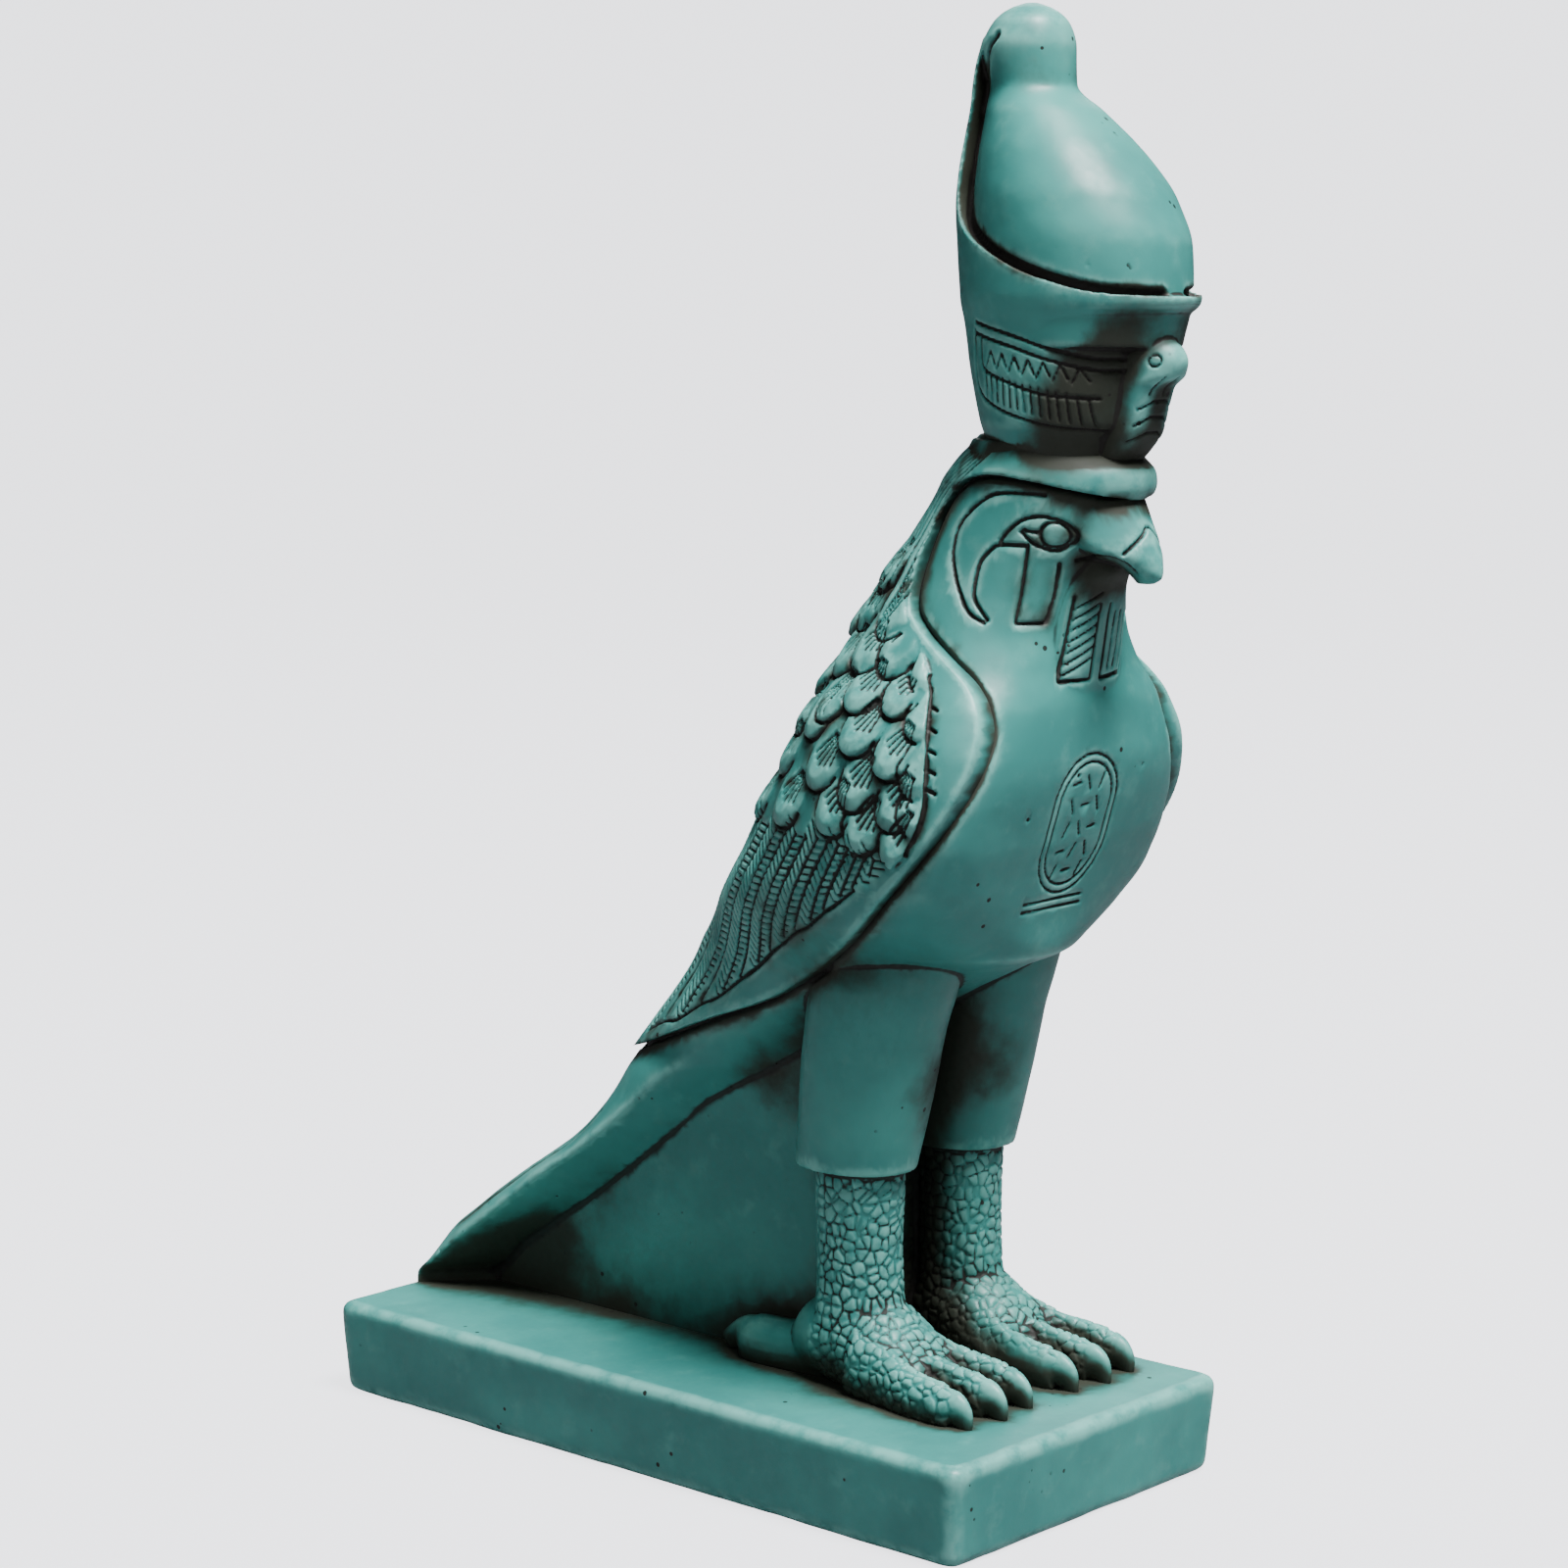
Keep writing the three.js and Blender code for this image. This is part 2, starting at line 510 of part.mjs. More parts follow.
const faceLines = [
  smooth([[-57, 130.4], [-50, 130.3], [-46, 127], [-44.6, 121.4], [-46, 115.6], [-48.6, 112]], 7),
  smooth([[-55.4, 122.7], [-51, 122.2], [-48, 119.6], [-47.2, 115.6], [-48.6, 111.8]], 5),
  [[-55.2, 123], [-56.2, 112.4], [-60, 112.6], [-60, 119]],
  smooth([[-60, 127.4], [-55.6, 127.6], [-52.2, 125]], 4),
];
const eye = smooth(
  [[-62.2, 124.9], [-59.8, 126.6], [-56.6, 126.6], [-54.2, 124.9], [-57, 123.2], [-60, 123]], 8, true);
const faceCuts = [...faceLines, [...eye, eye[0], eye[1]]].flatMap((line) => (
  bothSides(ribbon(line), 7, 20)));

const PANEL_TOP = 115.9; // two panels side by side on the throat
const PANEL_FOOT = 104.2;
const NEAR_PANEL = [-1.2, -7.5]; // inner and outer edge
const FAR_PANEL = [0.8, 6.5];
const OVAL_RADIUS = 7.1; // the ring with the row of signs on the chest
const OVAL_TOP = 93.8;
const OVAL_FOOT = 73.5;
const OVAL_BAR = [[-7.6, 71.8], [5.4, 71.8]];
const CHEST_FRONT = -80; // the cutters run back from here
const CHEST_INSIDE = -44;

const throatPanel = ([inner, outer]) => [
  [inner, PANEL_TOP], [inner, PANEL_FOOT], [outer, PANEL_FOOT], [outer * 0.98, PANEL_TOP]];
const shoulder = OVAL_TOP - OVAL_RADIUS;
const ankle = OVAL_FOOT + OVAL_RADIUS * 0.7;
const oval = [
  ...Array.from({ length: 5 }, (_, n) => {
    const angle = (Math.PI * n) / 4;
    return [OVAL_RADIUS * Math.cos(angle), shoulder + OVAL_RADIUS * Math.sin(angle)];
  }),
  [-OVAL_RADIUS, ankle], [0, OVAL_FOOT], [OVAL_RADIUS, ankle], [OVAL_RADIUS, shoulder],
];
const chestCuts = [throatPanel(NEAR_PANEL), throatPanel(FAR_PANEL), oval, OVAL_BAR]
  .map((line) => cast(endways(ribbon(line), CHEST_FRONT, CHEST_INSIDE)));

const panelLines = [
  [[-42, 152.6], [-52, 150.8], [-62.6, 149]],
  [[-42, 152], [-42.4, 146], [-44, 142.6], [-52, 140.6], [-61.6, 139.4]],
];
const panelCuts = panelLines.flatMap((line) => bothSides(ribbon(line, 0.6), 5, 20));

/** The cutters kept only where they reach less than the groove's depth into the rows. */
function shallow(cutters, rows, options) {
  return join(cutters).subtract(cast(stack(grown(rows, -GROOVE_DEPTH), options)));
}

// Plinth: a slab with rounded corners and edges whose sides lean in a little downwards

function plinth() {
  const rings = [];
  const steps = 3;
  const ring = (inset, z) => {
    const [x, y] = [PLINTH_WIDTH / 2 - inset, PLINTH_LENGTH / 2 - inset];
    const radius = Math.max(PLINTH_CORNER - inset * 0.5, 0.4);
    return [[1, 1], [-1, 1], [-1, -1], [1, -1]].flatMap(([sx, sy], corner) => (
      Array.from({ length: 4 }, (_, n) => {
        const angle = (corner + n / 3) * (Math.PI / 2);
        return new THREE.Vector3(
          sx * (x - radius) + radius * Math.cos(angle),
          sy * (y - radius) + radius * Math.sin(angle), z);
      })));
  };
  for (let n = 0; n <= steps; n += 1) {
    const angle = (n / steps) * (Math.PI / 2);
    const inset = PLINTH_EDGE * (1 - Math.sin(angle));
    rings.push(ring(PLINTH_DRAFT + inset, PLINTH_EDGE * (1 - Math.cos(angle))));
  }
  for (let n = 0; n <= steps; n += 1) {
    const angle = (n / steps) * (Math.PI / 2);
    const inset = PLINTH_EDGE * (1 - Math.cos(angle));
    rings.push(ring(inset, PLINTH_THICKNESS - PLINTH_EDGE * (1 - Math.sin(angle))));
  }
  return toSolid(skin(rings));
}

const head = core.subtract(shallow(faceCuts, BODY)).subtract(shallow(chestCuts, BODY));
const crown = redCrown.subtract(shallow(panelCuts, RED_CROWN, { sides: CROWN_SIDES }));
const statue = join([
  plinth(), head, cloak, ...feathers.map(cast), longFeathers, crown, bulb, uraeus, beak, jaw, web,
  ...leg(-1), ...leg(1),
]);

/** Geometry with the solid's own vertices and triangles. */
function toGeometry(solid) {
  const mesh = solid.getMesh();
  const geometry = new THREE.BufferGeometry();
  geometry.setAttribute('position', new THREE.BufferAttribute(mesh.vertProperties, 3));
  geometry.setIndex(new THREE.BufferAttribute(mesh.triVerts, 1));
  geometry.computeVertexNormals();
  return geometry;
}

const castStone = new THREE.MeshStandardMaterial({ color: 0x4fa79c, roughness: 0.55, metalness: 0 });
const falcon = new THREE.Mesh(toGeometry(statue), castStone);
falcon.name = 'falcon_statue';

const model = new THREE.Group();
model.add(falcon);

export default model;
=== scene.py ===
"""Falcon god in the double crown on its plinth, cast in turquoise composite with a dark wash.

Forms are drawn in millimetres in the figure's own frame, as in the part's source: u across
from the middle plane, y along, h above the plinth's top. A finished piece is in metres.
"""

import logging
import math
from dataclasses import dataclass, field
from enum import Enum

import bmesh
import bpy
import numpy as np
from mathutils import Matrix, Vector
from mathutils.bvhtree import BVHTree
from mathutils.kdtree import KDTree

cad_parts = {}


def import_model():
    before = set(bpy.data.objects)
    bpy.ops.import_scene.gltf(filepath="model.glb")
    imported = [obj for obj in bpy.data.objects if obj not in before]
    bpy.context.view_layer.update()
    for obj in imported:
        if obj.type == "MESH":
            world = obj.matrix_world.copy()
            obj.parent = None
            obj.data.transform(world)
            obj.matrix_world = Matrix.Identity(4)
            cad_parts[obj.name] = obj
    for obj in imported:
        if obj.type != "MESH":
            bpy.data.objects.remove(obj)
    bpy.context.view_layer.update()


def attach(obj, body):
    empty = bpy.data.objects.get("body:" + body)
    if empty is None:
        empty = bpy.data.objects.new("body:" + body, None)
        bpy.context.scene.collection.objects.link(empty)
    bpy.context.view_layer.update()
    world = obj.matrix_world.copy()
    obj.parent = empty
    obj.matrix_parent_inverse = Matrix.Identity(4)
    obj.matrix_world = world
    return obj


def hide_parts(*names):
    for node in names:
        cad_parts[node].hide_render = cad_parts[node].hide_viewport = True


LOG = logging.getLogger("falcon")
METRE = 0.001
FIGURE_PLACE = np.array([3.8, 0.0, 14.4])
NODE = "falcon_statue"
TRIANGLE_LIMIT = 194000
# A softening round draws the skin in and lets it out again, so that the form keeps its size
SOFTEN_IN = 0.55
SOFTEN_OUT = 0.40
# Millimetres from one point of a landed line to the next
LINE_STEP = 0.3

Array = np.ndarray
Polyline = list[tuple[float, float]]


class Side(Enum):
    """Where a line is drawn from before it lands on the figure."""

    BOTH_FLANKS = "flanks"
    FRONT = "front"
    BACK = "back"


# Meshes


def new_object(
    name: str, points: Array, faces: list, edges: list | None = None
) -> bpy.types.Object:
    """A mesh object in the scene, in the figure's millimetres.

    Args:
        name: The object's name.
        points: Its vertices.
        faces: Vertex numbers of each face.
        edges: Loose edges, for a set of drawn lines.

    Returns:
        The new object.
    """
    mesh = bpy.data.meshes.new(name)
    mesh.from_pydata([tuple(p) for p in points], edges or [], faces)
    mesh.update()
    obj = bpy.data.objects.new(name, mesh)
    bpy.context.scene.collection.objects.link(obj)
    return obj


def drop(*objects: bpy.types.Object) -> None:
    """Deletes helper objects that a finished piece no longer needs."""
    for obj in objects:
        bpy.data.objects.remove(obj, do_unlink=True)


def evaluated(obj: bpy.types.Object) -> bpy.types.Object:
    """Turns an object with its modifiers into a plain mesh, in its place.

    Args:
        obj: The object, whose modifiers are removed.

    Returns:
        The same object with the finished mesh.
    """
    graph = bpy.context.evaluated_depsgraph_get()
    mesh = bpy.data.meshes.new_from_object(
        obj.evaluated_get(graph), preserve_all_data_layers=True, depsgraph=graph
    )
    obj.modifiers.clear()
    obj.data = mesh
    return obj


def kept_inside(obj: bpy.types.Object, tool: bpy.types.Object) -> bpy.types.Object:
    """Keeps of one closed solid what lies inside another, which is deleted."""
    boolean = obj.modifiers.new("cut", "BOOLEAN")
    boolean.solver = "MANIFOLD"
    boolean.operation = "INTERSECT"
    boolean.object = tool
    evaluated(obj)
    drop(tool)
    return obj


def gathered(parts: list[bpy.types.Object]) -> tuple[Array, list[tuple[int, ...]]]:
    """Vertices and faces of several objects, one after another."""
    points: list[Array] = []
    faces: list[tuple[int, ...]] = []
    start = 0
    for part in parts:
        points.append(coordinates(part.data))
        faces.extend(tuple(start + i for i in face.vertices) for face in part.data.polygons)
        start += len(part.data.vertices)
    return np.concatenate(points), faces


def joined(name: str, parts: list[bpy.types.Object]) -> bpy.types.Object:
    """One object that holds the closed shells of several, which are deleted."""
    points, faces = gathered(parts)
    drop(*parts)
    return new_object(name, points, faces)


def rows_of(items: object, key: str, width: int, kind: type = float) -> Array:
    """One property of a mesh's vertices or edges, as a row for each."""
    flat = np.empty(len(items) * width, dtype=kind)
    items.foreach_get(key, flat)
    return flat.reshape(-1, width)


def coordinates(mesh: bpy.types.Mesh) -> Array:
    """Vertex places of a mesh."""
    return rows_of(mesh.vertices, "co", 3)


def normals(mesh: bpy.types.Mesh) -> Array:
    """Vertex normals of a mesh."""
    return rows_of(mesh.vertex_normals, "vector", 3)


def edge_pairs(mesh: bpy.types.Mesh) -> Array:
    """The two vertex numbers of each edge."""
    return rows_of(mesh.edges, "vertices", 2, np.int32)


def set_coordinates(mesh: bpy.types.Mesh, points: Array) -> None:
    """Moves a mesh's vertices to new places."""
    mesh.vertices.foreach_set("co", points.ravel())
    mesh.update()


def neighbour_mean(values: Array, pairs: Array) -> Array:
    """Mean of each vertex's neighbours, for one value or for a row of them."""
    count = len(values)
    degree = np.maximum(np.bincount(pairs.ravel(), minlength=count), 1)
    ends = np.concatenate([pairs[:, 0], pairs[:, 1]])
    others = np.concatenate([pairs[:, 1], pairs[:, 0]])
    columns = values.reshape(count, -1)
    means = [np.bincount(ends, column[others], count) / degree for column in columns.T]
    return np.stack(means, axis=1).reshape(values.shape)


def remeshed(obj: bpy.types.Object, voxel: float, rounds: int = 3) -> bpy.types.Object:
    """Fuses overlapping shells into one even skin, softened as a casting is.

    Args:
        obj: Closed shells that overlap.
        voxel: Size of a face in millimetres.
        rounds: How many times the skin is softened.

    Returns:
        The same object with one skin.
    """
    remesh = obj.modifiers.new("fuse", "REMESH")
    remesh.mode = "VOXEL"
    remesh.voxel_size = voxel
    evaluated(obj)
    pairs = edge_pairs(obj.data)
    points = coordinates(obj.data)
    for _ in range(rounds):
        points += SOFTEN_IN * (neighbour_mean(points, pairs) - points)
        points -= SOFTEN_OUT * (neighbour_mean(points, pairs) - points)
    set_coordinates(obj.data, points)
    return obj


def thinned(obj: bpy.types.Object, limit: int) -> bpy.types.Object:
    """Takes triangles out where the skin is smooth until the piece is under its limit."""
    count = sum(len(face.vertices) - 2 for face in obj.data.polygons)
    decimate = obj.modifiers.new("thin", "DECIMATE")
    decimate.ratio = min(1.0, limit / count)
    decimate.use_collapse_triangulate = True
    return evaluated(obj)


# Section rows and what is lofted from them


@dataclass(frozen=True)
class Sections:
    """A form as rows: height, front, widest place, back, half width, fullness of both halves."""

    rows: Array

    def at(self, heights: Array) -> Array:
        """Rows at any heights, by a cubic that doesn't overshoot.

        Args:
            heights: Where the rows are wanted.

        Returns:
            One row for each height.
        """
        t = self.rows
        i = np.clip(np.searchsorted(t[:, 0], heights) - 1, 0, len(t) - 2)
        span = np.diff(t[:, 0])[:, None]
        slope = np.diff(t, axis=0) / span
        before, after = slope[:-1], slope[1:]
        total = np.where(before * after > 0, before + after, 1.0)
        inner = np.where(before * after > 0, 2 * before * after / total, 0.0)
        tangent = np.concatenate([slope[:1], inner, slope[-1:]])
        x = ((heights - t[i, 0]) / span[i, 0])[:, None]
        out = (
            (2 * x**3 - 3 * x**2 + 1) * t[i]
            + (x**3 - 2 * x**2 + x) * span[i] * tangent[i]
            + (3 * x**2 - 2 * x**3) * t[i + 1]
            + (x**3 - x**2) * span[i] * tangent[i + 1]
        )
        out[:, 0] = heights
        return out

    def grown(self, step: float) -> "Sections":
        """The same form with every section grown outwards."""
        return Sections(self.rows + step * np.array([0.0, -1.0, 0.0, 1.0, 1.0, 0.0, 0.0]))

    def points(self, heights: Array, angles: Array) -> Array:
        """Points of sections: angle 0 is +u and a quarter turn is the back.

        Args:
            heights: One height for each point.
            angles: One angle for each point.

        Returns:
            The points as rows.
        """
        _, front, wide, back, half, full_front, full_back = self.at(heights).T
        c, s = np.cos(angles), np.sin(angles)
        power = 2 / np.where(s < 0, full_front, full_back)
        depth = np.where(s < 0, wide - front, back - wide)
        u = half * np.sign(c) * np.abs(c) ** power
        y = wide + depth * np.sign(s) * np.abs(s) ** power
        return np.stack([u, y, heights], axis=1)

    def angle(self, y: float, h: float) -> float:
        """Angle at which the section at a height reaches y on its +u side."""
        _, front, wide, back, _, full_front, full_back = self.at(np.array([h]))[0]
        if y < wide:
            return -math.asin(min(1.0, (wide - y) / (wide - front)) ** (full_front / 2))
        return math.asin(min(1.0, (y - wide) / (back - wide)) ** (full_back / 2))

    def solid(
        self, name: str, sides: int = 128, step: float = 0.8, across: float = 0.0
    ) -> bpy.types.Object:
        """The closed form, lofted finely.

        Args:
            name: The object's name.
            sides: Points round a section.
            step: Height from one ring to the next.
            across: Where the form's own middle is.

        Returns:
            The lofted object.
        """
        low, high = self.rows[0, 0], self.rows[-1, 0]
        heights = np.linspace(low, high, max(2, round((high - low) / step)) + 1)
        turn = np.arange(sides) * 2 * math.pi / sides
        rings = self.points(np.repeat(heights, sides), np.tile(turn, len(heights)))
        rings[:, 0] += across
        return skin(name, rings.reshape(len(heights), sides, 3))


def skin(name: str, rings: Array) -> bpy.types.Object:
    """Closed skin over rings with the same number of points, from the first to the last."""
    count, sides, _ = rings.shape
    points = np.concatenate([rings.reshape(-1, 3), [rings[0].mean(axis=0), rings[-1].mean(axis=0)]])
    bottom, top = count * sides, count * sides + 1
    last = (count - 1) * sides
    faces: list[tuple[int, ...]] = []
    for i in range(sides):
        j = (i + 1) % sides
        faces.append((bottom, j, i))
        faces.append((top, last + i, last + j))
        for r in range(count - 1):
            a, b = r * sides, (r + 1) * sides
            faces.append((a + i, a + j, b + j, b + i))
    return new_object(name, points, faces)


def rounded(points: Polyline, parts: int) -> Polyline:
    """Points of a smooth line through the given ones.

    Args:
        points: What the line passes through.
        parts: How many pieces each span is cut into.

    Returns:
        The finer line.
    """
    p = np.array(points, dtype=float)
    line = np.concatenate([[2 * p[0] - p[1]], p, [2 * p[-1] - p[-2]]])
    out: list[Array] = []
    for a, b, c, d in zip(line, line[1:], line[2:], line[3:]):
        for t in np.arange(parts) / parts:
            out.append(
                0.5 * (2 * b + (c - a) * t + (2 * a - 5 * b + 4 * c - d) * t**2
                       + (3 * b - a - 3 * c + d) * t**3)
            )
    out.append(line[-2])
    return [tuple(q) for q in out]


def limb(
    name: str, path: list[tuple[float, ...]], sides: int = 20, parts: int = 5
) -> bpy.types.Object:
    """Limb along a path of (u, y, h, half width, half height) points."""
    fine = np.array(rounded(path, parts))
    along = np.gradient(fine[:, :3], axis=0)
    along /= np.linalg.norm(along, axis=1, keepdims=True)
    side = np.array([1.0, 0.0, 0.0]) - along * along[:, :1]
    side /= np.linalg.norm(side, axis=1, keepdims=True)
    up = np.cross(along, side)
    turn = np.arange(sides) * 2 * math.pi / sides
    rings = (
        fine[:, None, :3]
        + side[:, None] * (fine[:, None, 3:4] * np.cos(turn)[None, :, None])
        + up[:, None] * (fine[:, None, 4:5] * np.sin(turn)[None, :, None])
    )
    return skin(name, rings)


def slab(name: str, outline: Polyline, low: float, high: float) -> bpy.types.Object:
    """A side-view outline of (y, h) points run across the figure from one u to another."""
    area = sum(a[0] * b[1] - b[0] * a[1] for a, b in zip(outline, outline[1:] + outline[:1]))
    loop = outline if area > 0 else outline[::-1]
    n = len(loop)
    points = [(low, y, h) for y, h in loop] + [(high, y, h) for y, h in loop]
    faces = [tuple(range(n - 1, -1, -1)), tuple(range(n, 2 * n))]
    faces += [(i, (i + 1) % n, n + (i + 1) % n, n + i) for i in range(n)]
    return new_object(name, np.array(points), faces)


# Node trees


class Nodes:
    """Short ways to add nodes to a tree of any kind."""

    def __init__(self, tree: bpy.types.NodeTree) -> None:
        """Takes the tree to work in."""
        self.tree = tree

    def node(self, kind: str, wires: dict | None = None, **settings: object) -> bpy.types.Node:
        """Adds a node.

        Args:
            kind: The node's type.
            wires: What each input, by name or number, is linked or set to.
            settings: The node's own options.

        Returns:
            The new node.
        """
        node = self.tree.nodes.new(kind)
        for key, value in settings.items():
            setattr(node, key, value)
        for key, value in (wires or {}).items():
            self.wire(value, node.inputs[key])
        return node

    def wire(self, value: object, socket: bpy.types.NodeSocket) -> None:
        """Links another socket to this one, or sets it to a plain value."""
        if isinstance(value, bpy.types.NodeSocket):
            self.tree.links.new(value, socket)
        else:
            socket.default_value = value

    def math(self, operation: str, *values: object) -> bpy.types.NodeSocket:
        """One operation on numbers."""
        return self.node("ShaderNodeMath", dict(enumerate(values)), operation=operation).outputs[0]

    def product(self, first: object, *others: object) -> bpy.types.NodeSocket:
        """Numbers times one another."""
        for other in others:
            first = self.math("MULTIPLY", first, other)
        return first

    def total(self, first: object, *others: object) -> bpy.types.NodeSocket:
        """Numbers added up."""
        for other in others:
            first = self.math("ADD", first, other)
        return first


class Tree(Nodes):
    """A Geometry Nodes tree with a geometry in and out, named inputs and a finish."""

    KINDS = {
        float: "NodeSocketFloat",
        bpy.types.Object: "NodeSocketObject",
        bpy.types.Material: "NodeSocketMaterial",
    }

    def __init__(self, name: str, inputs: dict[str, type]) -> None:
        """Makes the empty tree.

        Args:
            name: The tree's name.
            inputs: Name and type of each input between the geometry and the finish.
        """
        super().__init__(bpy.data.node_groups.new(name, "GeometryNodeTree"))
        sockets = self.tree.interface
        for in_out in ("INPUT", "OUTPUT"):
            sockets.new_socket("Geometry", in_out=in_out, socket_type="NodeSocketGeometry")
        self.names: dict[str, str] = {}
        for label, kind in {**inputs, "Finish": bpy.types.Material}.items():
            item = sockets.new_socket(label, in_out="INPUT", socket_type=self.KINDS[kind])
            self.names[label] = item.identifier
        self.start = self.tree.nodes.new("NodeGroupInput")

    def input(self, label: str) -> bpy.types.NodeSocket:
        """The socket that carries a named input."""
        return self.start.outputs[label]

    def shape(self, label: str) -> bpy.types.NodeSocket:
        """The geometry of the object in a named input."""
        return self.node("GeometryNodeObjectInfo", {"Object": self.input(label)}).outputs["Geometry"]

    def place(self) -> bpy.types.NodeSocket:
        """Where each point is."""
        return self.node("GeometryNodeInputPosition").outputs[0]

    def attribute(self, name: str, kind: str = "FLOAT") -> bpy.types.NodeSocket:
        """The values of a named attribute."""
        return self.node("GeometryNodeInputNamedAttribute", {"Name": name}, data_type=kind).outputs[0]

    def scaled(self, vector: bpy.types.NodeSocket, factor: object) -> bpy.types.NodeSocket:
        """A vector times a number."""
        node = self.node("ShaderNodeVectorMath", {"Vector": vector, "Scale": factor}, operation="SCALE")
        return node.outputs["Vector"]

    def fading(self, value: object, near: object, far: object) -> bpy.types.NodeSocket:
        """A smooth fall from 1 at the near value to 0 at the far one."""
        return self.node("ShaderNodeMapRange", {
            "Value": value, "From Min": near, "From Max": far, "To Min": 1.0, "To Max": 0.0},
            interpolation_type="SMOOTHSTEP").outputs[0]

    def stepped(self, label: str) -> bpy.types.NodeSocket:
        """The lines that come in, as curves with points a named input apart."""
        curve = self.node("GeometryNodeMeshToCurve", {"Mesh": self.input("Geometry")}).outputs[0]
        return self.node("GeometryNodeResampleCurve", {
            "Curve": curve, "Length": self.input(label)}, mode="LENGTH").outputs[0]

    def turn(self, out: object, flow: object) -> bpy.types.NodeSocket:
        """The turn that brings Z to the way out and Y towards the flow."""
        return self.node("FunctionNodeAxesToRotation", {
            "Primary Axis": out, "Secondary Axis": flow},
            primary_axis="Z", secondary_axis="Y").outputs[0]

    def pushed(self, distance: object) -> bpy.types.NodeSocket:
        """The skin that comes in, moved outwards by a distance."""
        normal = self.node("GeometryNodeInputNormal").outputs["Normal"]
        return self.node("GeometryNodeSetPosition", {
            "Geometry": self.input("Geometry"),
            "Offset": self.scaled(normal, distance)}).outputs[0]

    def washed(self, geometry: bpy.types.NodeSocket, mask: object) -> bpy.types.NodeSocket:
        """A geometry that keeps where the dark wash sits, old and new."""
        wash = self.math("MAXIMUM", self.attribute("wash"), mask)
        return self.node("GeometryNodeStoreNamedAttribute", {
            "Geometry": geometry, "Name": "wash", "Value": wash}).outputs[0]

    def finish(self, geometry: bpy.types.NodeSocket) -> "Tree":
        """Ends the tree in Realize Instances and Set Material."""
        real = self.node("GeometryNodeRealizeInstances", {"Geometry": geometry}).outputs[0]
        last = self.node("GeometryNodeSetMaterial", {
            "Geometry": real, "Material": self.input("Finish")}).outputs[0]
        self.node("NodeGroupOutput", {0: last})
        return self

    def run(self, obj: bpy.types.Object, **values: object) -> bpy.types.Object:
        """Puts the tree on an object, sets its inputs and makes the result a plain mesh."""
        modifier = obj.modifiers.new(self.tree.name, "NODES")
        modifier.node_group = self.tree
        for label, value in values.items():
            modifier[self.names[label]] = value
        return evaluated(obj)


